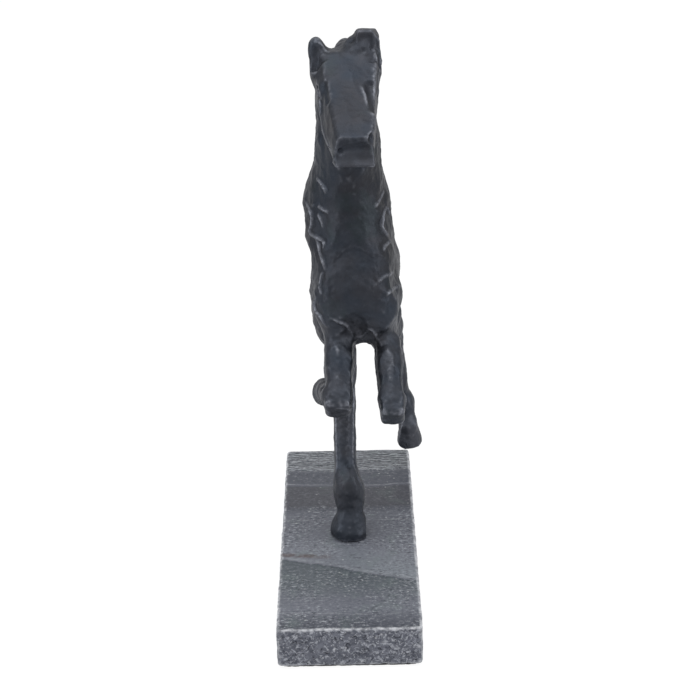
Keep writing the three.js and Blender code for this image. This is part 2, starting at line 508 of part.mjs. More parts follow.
// a lighter copy of a closed surface: edges are closed up, cheapest first, while the
// area-weighted mean squared distance to the old faces' planes stays within deviation squared
function thinned(geometry, deviation) {
  const positions = Array.from(geometry.attributes.position.array);
  const indices = geometry.index.array;
  const vertexCount = positions.length / 3;
  const faces = [];                                   // closed-up faces become null
  const facesAt = Array.from({ length: vertexCount }, () => new Set());
  const quadrics = new Float64Array(vertexCount * 10); // ten plane-distance terms a vertex
  const weights = new Float64Array(vertexCount);
  const point = (v) => [positions[3 * v], positions[3 * v + 1], positions[3 * v + 2]];

  for (let i = 0; i < indices.length; i += 3) {
    const face = [indices[i], indices[i + 1], indices[i + 2]];
    const id = faces.push(face) - 1;
    const a = point(face[0]);
    const [x, y, z, area] = facing(a, point(face[1]), point(face[2]));
    const d = -(x * a[0] + y * a[1] + z * a[2]);
    const terms = [x * x, x * y, x * z, x * d, y * y, y * z, y * d, z * z, z * d, d * d];
    for (const v of face) {
      facesAt[v].add(id);
      weights[v] += area;
      for (let k = 0; k < 10; k++) quadrics[v * 10 + k] += terms[k] * area;
    }
  }

  const errorAt = (a, b, [x, y, z]) => {
    const q = (k) => quadrics[a * 10 + k] + quadrics[b * 10 + k];
    return (q(0) * x * x + 2 * q(1) * x * y + 2 * q(2) * x * z + 2 * q(3) * x
      + q(4) * y * y + 2 * q(5) * y * z + 2 * q(6) * y
      + q(7) * z * z + 2 * q(8) * z + q(9)) / (weights[a] + weights[b] + 1e-12);
  };

  const neighbours = (v) => {
    const found = new Set();
    for (const id of facesAt[v]) for (const w of faces[id]) if (w !== v) found.add(w);
    return found;
  };

  // edges cheap enough to close up, each with the best of its ends and middle as target
  const candidates = () => {
    const list = [];
    const seen = new Set();
    for (const face of faces) {
      if (!face) continue;
      for (let e = 0; e < 3; e++) {
        const a = Math.min(face[e], face[(e + 1) % 3]);
        const b = Math.max(face[e], face[(e + 1) % 3]);
        const key = a * vertexCount + b;
        if (seen.has(key)) continue;
        seen.add(key);
        const pa = point(a);
        const pb = point(b);
        const length = Math.hypot(pa[0] - pb[0], pa[1] - pb[1], pa[2] - pb[2]);
        let best = null;
        for (const target of [pa, pb, pa.map((v, k) => (v + pb[k]) / 2)]) {
          const error = errorAt(a, b, target);
          if (!best || error < best.error) best = { error, target };
        }
        const cost = length < SHORT_EDGE ? -1 : Math.max(best.error, 0) + 1e-9 * length;
        if (cost < deviation * deviation) list.push({ a, b, cost, target: best.target });
      }
    }
    return list.sort((m, n) => m.cost - n.cost || m.a - n.a || m.b - n.b);
  };

  // whether moving v to target flattens or turns over a face that does not hold other
  const spoilsFace = (v, other, target) => [...facesAt[v]].some((id) => {
    const face = faces[id];
    if (face.includes(other)) return false;
    const before = facing(...face.map(point));
    const after = facing(...face.map((w) => (w === v ? target : point(w))));
    const dot = before[0] * after[0] + before[1] * after[1] + before[2] * after[2];
    return after[3] < 1e-4 || (before[3] > 1e-3 && dot < 0.6);
  });

  const canClose = ({ a, b, target }) => {
    const roundA = neighbours(a);
    const roundB = neighbours(b);
    const shared = [...roundA].filter((w) => roundB.has(w)).length;
    if (shared !== 2 || roundA.size + roundB.size - 4 < 3) return false;
    return !spoilsFace(a, b, target) && !spoilsFace(b, a, target);
  };

  const closeUp = ({ a, b, target }) => {
    for (const id of [...facesAt[b]]) {
      const face = faces[id];
      if (face.includes(a)) {
        for (const w of face) facesAt[w].delete(id);
        faces[id] = null;
      } else {
        face[face.indexOf(b)] = a;
        facesAt[a].add(id);
      }
    }
    facesAt[b].clear();
    positions.splice(3 * a, 3, ...target);
    for (let k = 0; k < 10; k++) quadrics[a * 10 + k] += quadrics[b * 10 + k];
    weights[a] += weights[b];
  };

  for (let pass = 0; pass < 80; pass++) {
    const locked = new Uint8Array(vertexCount);
    let closed = 0;
    for (const edge of candidates()) {
      if (locked[edge.a] || locked[edge.b] || !canClose(edge)) continue;
      closeUp(edge);
      locked[edge.a] = 1;
      for (const w of neighbours(edge.a)) locked[w] = 1;
      closed++;
    }
    if (closed < 4) break;
  }

  const newIndex = new Int32Array(vertexCount).fill(-1);
  const points = [];
  const triangles = [];
  for (const v of faces.filter(Boolean).flat()) {
    if (newIndex[v] < 0) {
      newIndex[v] = points.length / 3;
      points.push(...point(v));
    }
    triangles.push(newIndex[v]);
  }
  const light = indexedGeometry(points, triangles);
  light.computeVertexNormals();
  return light;
}

// ---------------------------------------------------------------- simple solids
// turned about X (positive takes +Z towards -Y), then moved to a point
function placed(geometry, position, pitch = 0) {
  const matrix = new THREE.Matrix4().makeRotationX(degToRad(pitch)).setPosition(...position);
  return solid(geometry.applyMatrix4(matrix));
}

function slab(low, high) {
  const size = high.map((v, i) => v - low[i]);
  return placed(new THREE.BoxGeometry(...size), low.map((v, i) => (v + high[i]) / 2));
}

// a box beyond a seam plane: x range, range up the plane, length along its normal, start level
function beyond(seam, [x0, x1], [v0, v1], length, start) {
  const box = new THREE.BoxGeometry(x1 - x0, v1 - v0, length);
  box.translate((x0 + x1) / 2 - seam.point[0], (v0 + v1) / 2, length / 2 + start);
  return placed(box, seam.point, seam.pitch);
}

// a straight round bar between two points
function bar(from, to, radius, sides = 20) {
  const start = new THREE.Vector3(...from);
  const end = new THREE.Vector3(...to);
  const run = end.clone().sub(start);
  const geometry = new THREE.CylinderGeometry(radius, radius, run.length(), sides, 1);
  const up = new THREE.Vector3(0, 1, 0);
  geometry.applyQuaternion(new THREE.Quaternion().setFromUnitVectors(up, run.normalize()));
  const middle = start.add(end).multiplyScalar(0.5);
  return solid(geometry.translate(middle.x, middle.y, middle.z));
}
const uprightBar = (xy, z0, z1, radius, sides) => bar([...xy, z0], [...xy, z1], radius, sides);

// an elliptical prism along the neck seam's normal, between two levels
function neckPlug(a, b, level0, level1) {
  const outline = new THREE.Shape();
  outline.absellipse(0, 0, a, b, 0, Math.PI * 2, false, 0);
  const depth = level1 - level0;
  const options = { depth, bevelEnabled: false, curveSegments: 28 };
  const geometry = new THREE.ExtrudeGeometry(outline, options).translate(0, 0, level0);
  return placed(geometry, SEAMS.neck.point, SEAMS.neck.pitch);
}

// ellipsoid that hollows a casting
const core = (centre, radii, pitch) => (
  placed(new THREE.SphereGeometry(1, 22, 14).scale(...radii), centre, pitch)
);

// ---------------------------------------------------------------- limb regions and spigots
function foreRegion(seam, [x0, x1], [z0, z1], gap) {
  return beyond(seam, [x0, x1], [-45, 40], 60, gap).add(slab([x0, -80, z0], [x1, -22, z1]));
}

// space that holds each limb, its seam face held back by gap
const REGIONS = {
  head_and_neck: (gap) => beyond(SEAMS.neck, [-40, 60], [-75, 75], 110, gap),
  foreleg_right: (gap) => foreRegion(SEAMS.foreRight, [-30, MID_X], [118, 160], gap),
  foreleg_left: (gap) => foreRegion(SEAMS.foreLeft, [MID_X, 50], [112, 156], gap),
  hindleg_right: (gap) => slab([-30, -20, 20], [MID_X, 66, HIND_SEAM_Z - gap]),
  hindleg_left: (gap) => slab([MID_X, 0, 20], [60, 108, HIND_SEAM_Z - gap]),
  tail: (gap) => beyond(SEAMS.tail, [-20, 40], [-50, 110], 110, gap),
};

function seamSpigot({ point, pitch }) {
  const angle = degToRad(pitch);
  return { point, direction: [0, -Math.sin(angle), Math.cos(angle)] };
}
function hindSpigot(x, y, slope) {
  const length = Math.hypot(...slope);
  return { point: [x, y, HIND_SEAM_Z], direction: slope.map((v) => v / length) };
}

// seam point and outward direction of each limb's spigot
const SPIGOTS = {
  foreleg_right: seamSpigot(SEAMS.foreRight),
  foreleg_left: seamSpigot(SEAMS.foreLeft),
  hindleg_right: hindSpigot(-3.0, 21.5, [0.13, 0.35, -1]),
  hindleg_left: hindSpigot(27.2, 46.5, [0.16, 0.85, -1]),
  tail: seamSpigot(SEAMS.tail),
};
function spigotBar({ point, direction }, inward, outward, radius) {
  const along = (l) => point.map((v, i) => v + direction[i] * l);
  return bar(along(-inward), along(outward), radius);
}

// ---------------------------------------------------------------- castings
function bodySolid() {
  let body = skinOf('body_casting');
  for (const region of Object.values(REGIONS)) body = body.subtract(region(0));
  const { a, b, down, socketTop } = COLLAR;
  body = largest(body)
    .subtract(core([6.5, 8, 194], [13.4, 62, 25], -BODY_PITCH)) // barrel
    .subtract(core([6.4, -36, 232], [12, 22, 27], 10))          // chest
    .subtract(neckPlug(a + GAP, b + GAP, -down - GAP, socketTop));
  for (const spigot of Object.values(SPIGOTS)) {
    body = body.subtract(spigotBar(spigot, SPIGOT_IN + GAP, SOCKET_OUT, SPIGOT_R + GAP));
  }
  return largest(body);
}

function headSolid() {
  const { a, b, wall, up, down, boreRun } = COLLAR;
  return largest(skinOf('head_and_neck').intersect(REGIONS.head_and_neck(GAP)))
    .add(neckPlug(a, b, -down, up))
    .subtract(neckPlug(a - wall, b - wall, -down - OVERCUT, up + boreRun))
    .subtract(core([4.4, -42, 281], [8.6, 14.5, 25], 8));       // hollow of the neck
}

function limbSolid(name, trim) {
  let rough = skinOf(name).intersect(REGIONS[name](GAP));
  if (trim) rough = rough.intersect(trim);
  return largest(rough).add(spigotBar(SPIGOTS[name], SPIGOT_IN, SPIGOT_OUT, SPIGOT_R));
}

// the standing leg: cut level on the marble and drilled for the stud and pin
function standingLegSolid() {
  const bottom = BASE_H - LEG_OVERCUT;
  return limbSolid('hindleg_right', slab([-40, -40, BASE_H], [60, 100, 300]))
    .subtract(uprightBar(STUD_XY, bottom, STUD_Z1 + STUD_END_PLAY, STUD_HOLE_R, 24))
    .subtract(uprightBar(PIN_XY, bottom, PIN_Z1 + PIN_END_PLAY, PIN_R + GAP, 16));
}

// ---------------------------------------------------------------- marble and felt
function roundedRectangle(width, length, r) {
  const shape = new THREE.Shape();
  const x = width / 2;
  const y = length / 2;
  shape.moveTo(-x + r, -y);
  shape.lineTo(x - r, -y);
  shape.absarc(x - r, -y + r, r, -Math.PI / 2, 0, false);
  shape.lineTo(x, y - r);
  shape.absarc(x - r, y - r, r, 0, Math.PI / 2, false);
  shape.lineTo(-x + r, y);
  shape.absarc(-x + r, y - r, r, Math.PI / 2, Math.PI, false);
  shape.lineTo(-x, -y + r);
  shape.absarc(-x + r, -y + r, r, Math.PI, 1.5 * Math.PI, false);
  return shape;
}
const insetFootprint = (inset, radius) => (
  roundedRectangle(BASE_W - 2 * inset, BASE_L - 2 * inset, radius)
);

function baseSolid() {
  const outline = insetFootprint(BASE_BEVEL, BASE_CORNER_R - BASE_BEVEL);
  const geometry = new THREE.ExtrudeGeometry(outline, {
    depth: BASE_H - 2 * BASE_BEVEL,
    bevelEnabled: true,
    bevelThickness: BASE_BEVEL,
    bevelSize: BASE_BEVEL,
    bevelSegments: 1,
    curveSegments: 4,
  });
  const top = BASE_H + OVERCUT;
  return solid(geometry.translate(0, 0, BASE_BEVEL))
    .subtract(uprightBar(STUD_XY, -OVERCUT, top, BASE_HOLE_R, 24))
    .subtract(uprightBar(STUD_XY, -OVERCUT, CBORE_D, CBORE_R, 40))
    .subtract(uprightBar(PIN_XY, PIN_Z0 - PIN_END_PLAY, top, PIN_R + GAP, 16));
}

const flatExtrusion = (shape, depth, curveSegments) => (
  new THREE.ExtrudeGeometry(shape, { depth, bevelEnabled: false, curveSegments })
);
const feltGeometry = () => flatExtrusion(insetFootprint(FELT_INSET, BASE_CORNER_R), FELT_T, 6);

// ---------------------------------------------------------------- hardware, each about its axis
// a profile of [radius, height] points turned about Z
function turned(profile, sides) {
  const points = profile.map(([r, z]) => new THREE.Vector2(r, z));
  return new THREE.LatheGeometry(points, sides).rotateX(Math.PI / 2);
}

function chamferedRod(r, length, chamfer, sides) {
  return turned([
    [0, 0], [r - chamfer, 0], [r, chamfer],
    [r, length - chamfer], [r - chamfer, length], [0, length],
  ], sides);
}

function flatRing({ outer, inner, thick, segments }) {
  const shape = new THREE.Shape();
  shape.absarc(0, 0, outer, 0, Math.PI * 2, false);
  const hole = new THREE.Path();
  hole.absarc(0, 0, inner, 0, Math.PI * 2, true);
  shape.holes.push(hole);
  return solid(flatExtrusion(shape, thick, segments));
}

function springSolid() {
  const slit = new THREE.BoxGeometry(SLIT.length, SLIT.width, SLIT.height)
    .rotateX(degToRad(SLIT.slant))
    .translate(SLIT.x, 0, SPRING.thick / 2);
  return flatRing(SPRING).subtract(solid(slit));
}

// hexagonal prism with its corners coned off at both ends
function nutSolid() {
  const hexagon = new THREE.Shape();
  const cornerR = NUT_AF / 2 / Math.cos(Math.PI / 6);
  for (let i = 0; i < 6; i++) {
    const angle = i * Math.PI / 3;
    const corner = [cornerR * Math.cos(angle), cornerR * Math.sin(angle)];
    if (i) hexagon.lineTo(...corner);
    else hexagon.moveTo(...corner);
  }
  hexagon.closePath();
  const endR = NUT_AF / 2 - 0.1;
  const wideR = NUT_AF / 2 + 1.2;
  const coneH = 0.75;
  const envelope = turned([
    [0, 0], [endR, 0], [wideR, coneH], [wideR, NUT_T - coneH], [endR, NUT_T], [0, NUT_T],
  ], 36);
  return solid(flatExtrusion(hexagon, NUT_T))
    .intersect(solid(envelope))
    .subtract(uprightBar([0, 0], -OVERCUT, NUT_T + OVERCUT, STUD_HOLE_R, 24));
}

// ---------------------------------------------------------------- materials
const finish = (color, roughness, metalness) => () => (
  new THREE.MeshStandardMaterial({ color, roughness, metalness })
);
const bronze = finish(0x2d2f32, 0.42, 0.85);
const marble = finish(0x74757a, 0.45, 0.0);
const steel = finish(0xb4b6ba, 0.35, 0.95);
const felt = finish(0x24282a, 0.98, 0.0);

// ---------------------------------------------------------------- scene graph
const statue = new THREE.Group();
statue.position.z = FELT_T;
function put(name, geometry, material, [x, y] = [0, 0], z = 0) {
  const mesh = new THREE.Mesh(geometry, material);
  mesh.name = name;
  mesh.position.set(x, y, z);
  statue.add(mesh);
}

put('marble_base', geometryOf(baseSolid()), marble());
const castings = {
  body_casting: bodySolid(),
  head_and_neck: headSolid(),
  foreleg_right: limbSolid('foreleg_right'),
  foreleg_left: limbSolid('foreleg_left'),
  hindleg_right: standingLegSolid(),
  hindleg_left: limbSolid('hindleg_left'),
  tail: limbSolid('tail'),
};
for (const [name, shape] of Object.entries(castings)) {
  put(name, thinned(geometryOf(shape), CASTINGS[name].deviation), bronze());
}

const studGeometry = chamferedRod(STUD_R, STUD_Z1 - STUD_Z0, STUD_CHAMFER, 24);
const pinGeometry = chamferedRod(PIN_R, PIN_Z1 - PIN_Z0, PIN_CHAMFER, 16);
// the washers and nut hang in turn from the roof of the counterbore
const washerZ = CBORE_D - WASHER.thick - STACK_GAP;
const springZ = washerZ - SPRING.thick - STACK_GAP;
const nutZ = springZ - NUT_T - STACK_GAP;
put('mounting_stud', studGeometry, steel(), STUD_XY, STUD_Z0);
put('plain_washer', geometryOf(flatRing(WASHER)), steel(), STUD_XY, washerZ);
put('spring_washer', geometryOf(springSolid()), steel(), STUD_XY, springZ);
put('hex_nut', geometryOf(nutSolid()), steel(), STUD_XY, nutZ);
put('locating_pin', pinGeometry, steel(), PIN_XY, PIN_Z0);
put('felt_sheet', feltGeometry(), felt(), [0, 0], -FELT_T);

export default statue;
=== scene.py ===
import math
import time
import bpy
import bmesh
import numpy as np
from mathutils import Matrix, Vector
from mathutils.kdtree import KDTree


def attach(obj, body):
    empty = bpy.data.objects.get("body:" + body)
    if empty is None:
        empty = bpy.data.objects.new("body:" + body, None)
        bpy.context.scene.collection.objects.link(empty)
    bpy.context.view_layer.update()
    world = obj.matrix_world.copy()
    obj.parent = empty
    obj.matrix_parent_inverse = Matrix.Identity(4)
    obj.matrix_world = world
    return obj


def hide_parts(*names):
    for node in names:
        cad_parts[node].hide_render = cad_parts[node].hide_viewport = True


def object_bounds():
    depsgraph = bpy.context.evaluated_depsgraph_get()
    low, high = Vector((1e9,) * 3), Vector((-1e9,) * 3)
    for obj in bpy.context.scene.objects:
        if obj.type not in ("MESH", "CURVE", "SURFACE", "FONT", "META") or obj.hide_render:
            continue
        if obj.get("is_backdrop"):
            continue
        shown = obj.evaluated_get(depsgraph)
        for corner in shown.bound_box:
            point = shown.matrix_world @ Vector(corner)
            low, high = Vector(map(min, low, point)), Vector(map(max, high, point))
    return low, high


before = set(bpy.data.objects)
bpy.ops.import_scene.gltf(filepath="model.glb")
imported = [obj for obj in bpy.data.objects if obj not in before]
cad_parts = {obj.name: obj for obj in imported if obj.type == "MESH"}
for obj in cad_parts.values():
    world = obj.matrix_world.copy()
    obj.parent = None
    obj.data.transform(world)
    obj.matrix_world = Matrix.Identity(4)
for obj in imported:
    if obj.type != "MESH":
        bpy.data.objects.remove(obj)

T0 = time.time()
cad_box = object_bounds()
FINE = 0.70         # grid of the sculpted skin, mm
FELT_T = 1.5
MM = 0.001


def say(*a):
    print("[scene]", round(time.time() - T0, 1), *a)


# ================================================================== forms of the horse, the same table as the CAD, mm
A = 34.0
HP = 31.0
POLL = np.array([4.0, -52.0, 327.5])
HC, HS = math.cos(math.radians(HP)), math.sin(math.radians(HP))


def H(x, t, n):
    return [POLL[0] + x + 4.4 * t / 60.0, POLL[1] - t * HC - n * HS, POLL[2] - t * HS + n * HC]


def E(c, r, deg, k, op='+'):
    return [op, 'E', np.array(c, float), np.array(r, float), deg, k]


def B(c, r, deg, rd, k, op='+'):
    return [op, 'B', np.array(c, float), np.array(r, float), deg, rd, k]


def P(c, n, R, k):
    return ['-', 'P', np.array(c, float), np.array(n, float), R, k]


def C(a, b, ra, rb, s, k, op='+'):
    return [op, 'C', np.array(a, float), np.array(b, float), ra, rb, s, k]


def chain(points, radii, s, k, first_k=None, op='+'):
    out = []
    for i in range(len(points) - 1):
        out.append(C(points[i], points[i + 1], radii[i], radii[i + 1], s, (first_k if (i == 0 and first_k is not None) else k), op))
    return out


torso = [
    E([7.2, -38, 217], [18.6, 40, 40], A, 0), E([6.2, 0, 194], [18.6, 50, 38], A, 12),
    E([6.5, 32, 175.5], [18.6, 36, 34], A, 10), E([7.2, 60, 176], [20, 32, 30], A + 8, 8),
    C([5, -22, 250], [6, 10, 232], 12, 11, .6, 10), E([7, -55, 225], [16.5, 18, 34], 70, 10),
    P([7, -79.0, 226], [0, -.962, .272], 46, 14),
    C([-8.5, -34, 250], [-6, -64, 206], 13, 13, .55, 6), C([16.4, -36, 246], [19.6, -64, 206], 13, 13, .55, 6),
    E([-3.5, -67, 200], [9.5, 11, 12], 30, 5), E([18.8, -67, 200], [9.5, 11, 12], 30, 5),
    C([-9.8, -40, 249], [-9.0, -46, 236], 12.5, 12.5, .66, 5), E([22.6, -52, 202], [9.0, 12, 10.5], A, 4),
    C([7.4, -67.5, 206], [9.6, -64, 189.4], 12, 8.6, 1.0, 8), B([11.0, -58, 184.4], [8.2, 8.5, 6.0], 20, 1.8, 2.5),
    P([-14.4, -50, 205], [-1, 0, 0], 10, 2), P([28.2, -44, 228], [1, 0, 0], 10, 2),
]
neck = [
    C([5, -38, 246], [4.2, -42, 280], 31, 22.5, .60, 0), C([4.4, -42, 280], [3.8, -47, 306], 22.5, 17.5, .645, 8),
    C([3.6, -47, 306], H(0, 8, -10), 17.5, 14, .84, 6), C([4, -38, 326], [4, -24, 304], 6.5, 8.5, .66, 7),
    C([4, -24, 304], [4.4, -12, 276], 8.5, 8.5, .66, 7), C([4.4, -12, 276], [5.2, 2, 250], 8.5, 6, .66, 7),
]
head = [
    B(H(-.4, 34.5, -3.2), [13.6, 30.9, 8.6], -HP, 1.8, 0),
    P(H(-9.8, 36, 5.4), [-.93, -.30, .22], 36, 3.0), P(H(11.2, 36, 5.4), [.99, -.075, .0], 36, 1.2),
    P(H(-11.4, 54, -8), [-.93, -.215, -.24], 13, 1.2), P(H(10.4, 60, -8), [.92, -.20, -.34], 7, 1.0),
    P(H(0, 60.3, 0), [0, -.998, .03], 17, .9),
    B([7.9, -100.8, 291.1], [9.7, 3.6, 5.6], 32, 2.0, 1.0), C([.5, -104.6, 296.6], [15.4, -104.6, 296.2], .8, .9, 1, .7, '-'),
    P([7.6, -98.6, 288.2], [0, -.05, -1], 11, 1.4),
    E(H(0, 12, -8), [14, 17, 13.5], -HP, 4),
    E(H(-7.2, 22, -16), [6.4, 14, 12.5], -HP, 4), E(H(6.8, 21, -17), [6.2, 14, 13], -HP, 4),
    C(H(0, 22, -20), H(0, 50, -9), 8.5, 6, 1.0, 4),
    E(H(0, 51, -10.8), [7.5, 6, 4.0], -HP, 3), E(H(-11.4, 18, -3), [3.6, 6, 4.6], -HP, 3),
    E(H(11.2, 18, -3), [3.4, 6, 4.6], -HP, 3), E([8.2, -50, 329.6], [4.5, 7, 6.7], 0, 3), C([7.4, -50.5, 331.6], [11.0, -51, 333.6], 3.0, 3.2, 1, 2),
    C(H(-12.4, 24, -9), H(-10.0, 44, -8.5), 2.6, 1.6, 1, 3),
    P(H(0, 30, 5.4), [0, -HS, HC], 34, 1.2),
    C(H(-5.0, 61.2, 1.8), H(8.0, 60.6, 2.8), 2.3, 2.7, 1, .9, '-'), C(H(10.2, 24, 5.6), H(10.8, 39, 4.8), 2.3, 2.0, 1, 2.0, '-'),
    C(H(-12.2, 22, 3.6), H(-11.4, 32, 3.0), 1.6, 1.3, 1, 2.0, '-'),
]
earR = [C([-6.8, -54, 320], [-9.8, -52, 333.2], 6.4, 3.9, .95, 0), C([-9.4, -53, 330.6], [-1.2, -50.5, 324.6], 3.7, 4.6, 1, 2),
        C(H(-11.4, 8, -1.6), H(-5.0, 5.0, -.2), 5.0, 4.8, 1, 4),
        P([-9.4, -57.3, 330], [-.25, -.95, .18], 9, .8), P([-13.2, -54, 335.2], [-.72, -.1, .69], 5, .6),
        P([-6.6, -52, 335.0], [.75, 0, .66], 6, .6)]
earL = [C([14, -54, 321], [15.0, -52.4, 333], 7.0, 5.4, 1.0, 0), C(H(10.4, 8, -1.2), H(7.4, -.5, .8), 5.2, 4.2, 1, 4),
        C([8.8, -54.8, 330.4], [13.5, -55.2, 332.0], 3.6, 4.0, 1, 2.5), B([15.3, -53.0, 330.8], [5.7, 4.4, 9.8], 6, 1.8, 1.5),
        P([20.4, -54, 337.2], [.80, -.1, .60], 6, .6), P([19.4, -57.4, 331], [.62, -.78, 0], 10, .5)]
foreR = [
    C([-4.6, -40, 208], [-3.2, -52, 190], 15, 12.5, .60, 0), C([-3.2, -52, 190], [-2.6, -76, 176], 12, 9, .60, 4),
    C([-2.6, -76, 176], [-3.0, -92, 163.5], 9, 7.4, .70, 4), B([-1.9, -79.6, 173.2], [6.0, 19, 6.3], -38, 2.2, 4.0), B([-3.1, -94.6, 160.9], [6.7, 6.2, 6.6], -32, 2.8, 2.5), E([-9.2, -92.6, 162.0], [2.6, 4.6, 5.0], -32, 2.0),
    C([-4.2, -92, 156], [-7.8, -60, 147], 5, 4.4, 1, 2.5), E([-8.4, -57, 146], [5.2, 6.2, 5.8], 0, 2.5),
    C([-8.8, -54, 145.5], [-10.2, -44, 141], 4.6, 5, 1, 2), C([-10.4, -44, 141], [-11, -34, 135], 5.6, 8, .85, 1.5),
    P([-11, -34.5, 135.5], [-.10, .84, -.54], 11, .6),
]
foreL = [
    C([19, -40, 206], [20.6, -52, 188], 15, 12.5, .60, 0), C([20.6, -52, 188], [23.0, -76, 172], 12, 8.6, .57, 4),
    C([23.0, -76, 172], [24.0, -92, 159], 8.6, 7.0, .68, 4), B([24.0, -79.6, 169.2], [5.4, 19, 6.0], -39, 2.2, 4.0), B([24.6, -94.6, 155.9], [6.2, 6.2, 6.8], -32, 2.8, 2.5),
    C([24.2, -92, 151], [24.8, -60, 141], 4.9, 4.4, 1, 2.5), E([25, -57, 140], [5.2, 6.2, 5.8], 0, 2.5),
    C([25, -54, 139.5], [25.2, -44, 135], 4.6, 5, 1, 2), C([25.2, -44, 135], [25.4, -34, 129], 5.4, 7.6, .8, 1.5),
    P([25.4, -34.5, 129.5], [0, .84, -.54], 11, .6),
]
hindR = [
    E([-4.6, 48, 176], [10.6, 31, 28], 60, 0), C([-5.0, 40, 172], [-8.4, 6, 162], 20, 13, .68, 8),
    C([-7, 8, 158], [-1.0, 25, 130], 12.5, 9.6, .58, 6), C([-1.0, 25, 130], [-.2, 34, 118], 9.4, 7.4, .80, 5),
    C([-2.6, 50, 160], [-.4, 42, 120], 8.5, 4.2, .62, 5), C([-2.2, 38, 148], [-.4, 38, 124], 7, 4, .5, 4),
    E([-.2, 37, 114], [6.6, 9.5, 9.5], -20, 4), C([-.8, 33, 107], [-1.2, 9, 62], 6.6, 6.6, 1, 4),
    C([-.8, 37, 104], [-.8, 14, 64], 4.2, 4.2, 1, 2), E([.8, 3.2, 50.8], [9.2, 9.8, 13.6], -18, 7),
    C([1.4, .6, 43], [1.4, -2.0, 35.4], 7.9, 7.4, 1, 4), C([1.2, -1.4, 32.8], [.9, -1.5, 26], 9.4, 11.7, .98, 1.6),
    C([.9, -1.5, 26], [.9, -1.5, 23], 11.7, 11.2, .98, 1),
    P([1, 0, 25], [0, 0, -1], 16, 0),
]
hindL = [
    E([18.6, 50, 176], [11.6, 31, 28], 60, 0), C([19.8, 44, 172], [23, 20, 159], 21, 13, .6, 8),
    C([23.4, 22, 157], [27, 46, 138], 13, 9.8, .60, 6), C([27, 46, 138], [29, 66, 124], 9.8, 6.8, .72, 5),
    C([24, 70, 156], [29, 76, 122], 8, 4.2, .62, 5), C([25, 56, 150], [28.4, 66, 128], 8, 4.4, .5, 4),
    E([29.4, 73, 119], [6.2, 9.5, 9], 10, 4), C([29.8, 75, 112], [34.6, 82, 73], 5.8, 5.4, 1, 4),
    C([29.8, 80, 110], [34.8, 86.5, 74], 3.8, 3.8, 1, 2), E([37, 82.5, 68], [6.2, 7.2, 7.6], 10, 3),
    C([37.6, 81.5, 62], [38.6, 78, 54], 5.2, 5.6, 1, 3), C([38.6, 78.5, 54], [39.6, 80, 42], 5.9, 8.4, .95, 2),
    P([39.6, 80, 40.8], [.05, .22, -.97], 13, .6),
]
TAIL_LINE = np.array([[7.4, 74, 184], [7.4, 88, 194], [7.4, 102, 198], [7.4, 116, 195], [7.4, 128, 186],
                      [7.5, 137, 172], [7.6, 143, 154], [7.8, 148, 136], [8.2, 154, 119], [8.8, 161, 104]], float)
TAIL_RAD = [9, 8.5, 9, 10, 11, 12, 11.5, 9.5, 6.5, 2.6]
tail = [
    C(TAIL_LINE[0], TAIL_LINE[1], 9, 8.5, .75, 0), C(TAIL_LINE[1], TAIL_LINE[2], 8.0, 8.0, .72, 5),
    C(TAIL_LINE[2], TAIL_LINE[3], 7.6, 8.2, .70, 7), C(TAIL_LINE[3], TAIL_LINE[4], 8.2, 9.0, .68, 8),
    C(TAIL_LINE[4], TAIL_LINE[5], 9.0, 9.6, .66, 9), C(TAIL_LINE[5], TAIL_LINE[6], 9.6, 9.2, .64, 9),
    C(TAIL_LINE[6], TAIL_LINE[7], 9.2, 7.2, .62, 9), C(TAIL_LINE[7], TAIL_LINE[8], 7.2, 4.2, .62, 8),
]

# ------------------------------------------------------------------ sculpted detail the castings carry
# head: orbits, eyeballs and lids, facial crest, nostrils, mouth, jaw line
for sx in (-1, 1):
    head += [
        E(H(sx * 14.4, 20.5, -3.6), [2.5, 4.2, 2.5], -HP - 8, 1.2, '-'),                       # eye socket
        E(H(sx * 11.7, 20.6, -3.8), [1.8, 2.9, 2.0], -HP - 8, .5),                             # eyeball
        C(H(sx * 12.7, 16.4, -1.8), H(sx * 13.1, 20.4, -1.2), .7, .9, 1, .8),                  # upper lid
        C(H(sx * 13.1, 20.4, -1.2), H(sx * 12.4, 24.8, -3.0), .9, .6, 1, .8),
        C(H(sx * 12.8, 17.4, -5.2), H(sx * 12.6, 23.0, -6.3), .6, .6, 1, .8),                  # lower lid
        C(H(sx * 11.2, 47, -6.4), H(sx * 10.2, 59, -5.4), .6, .7, 1, .9, '-'),                 # mouth
        C(H(sx * 7.6, 33, -24), H(sx * 5.2, 50, -14.5), 1.2, .9, 1, 2.2, '-'),                 # hollow under the jaw bar
        C(H(sx * 13.0, 9, -14), H(sx * 12.0, 30, -19), 1.0, 1.0, 1, 2.2, '-'),                 # behind the cheek
    ]
head += [E(H(8.4, 57.0, 3.2), [2.3, 4.6, 2.6], -HP + 12, 1.0, '-'), E(H(-7.0, 61.0, -.4), [1.6, 1.6, 1.5], -HP, 1.0, '-'),      # nostrils
         E([13.4, -105.6, 293.6], [2.8, 1.3, .9], 20, .8, '-'),
         C(H(0, 53, -16.4), H(0, 40, -18.0), 1.4, 2.0, 1, 2.5, '-')]
earR += [C([-7.4, -62.0, 322], [-9.8, -58.2, 331.6], 1.9, 1.0, .9, 1.4, '-'), C([-3.4, -50.0, 328.5], [-8.6, -48.4, 333.5], 1.4, .9, 1, 1.4, '-')]
earL += [C([17.0, -58.9, 323.5], [16.8, -58.0, 338.0], .9, .5, 1, .7, '-'), C([12.9, -60.9, 325.5], [13.2, -59.4, 332], .8, .5, 1, 1.6, '-')]

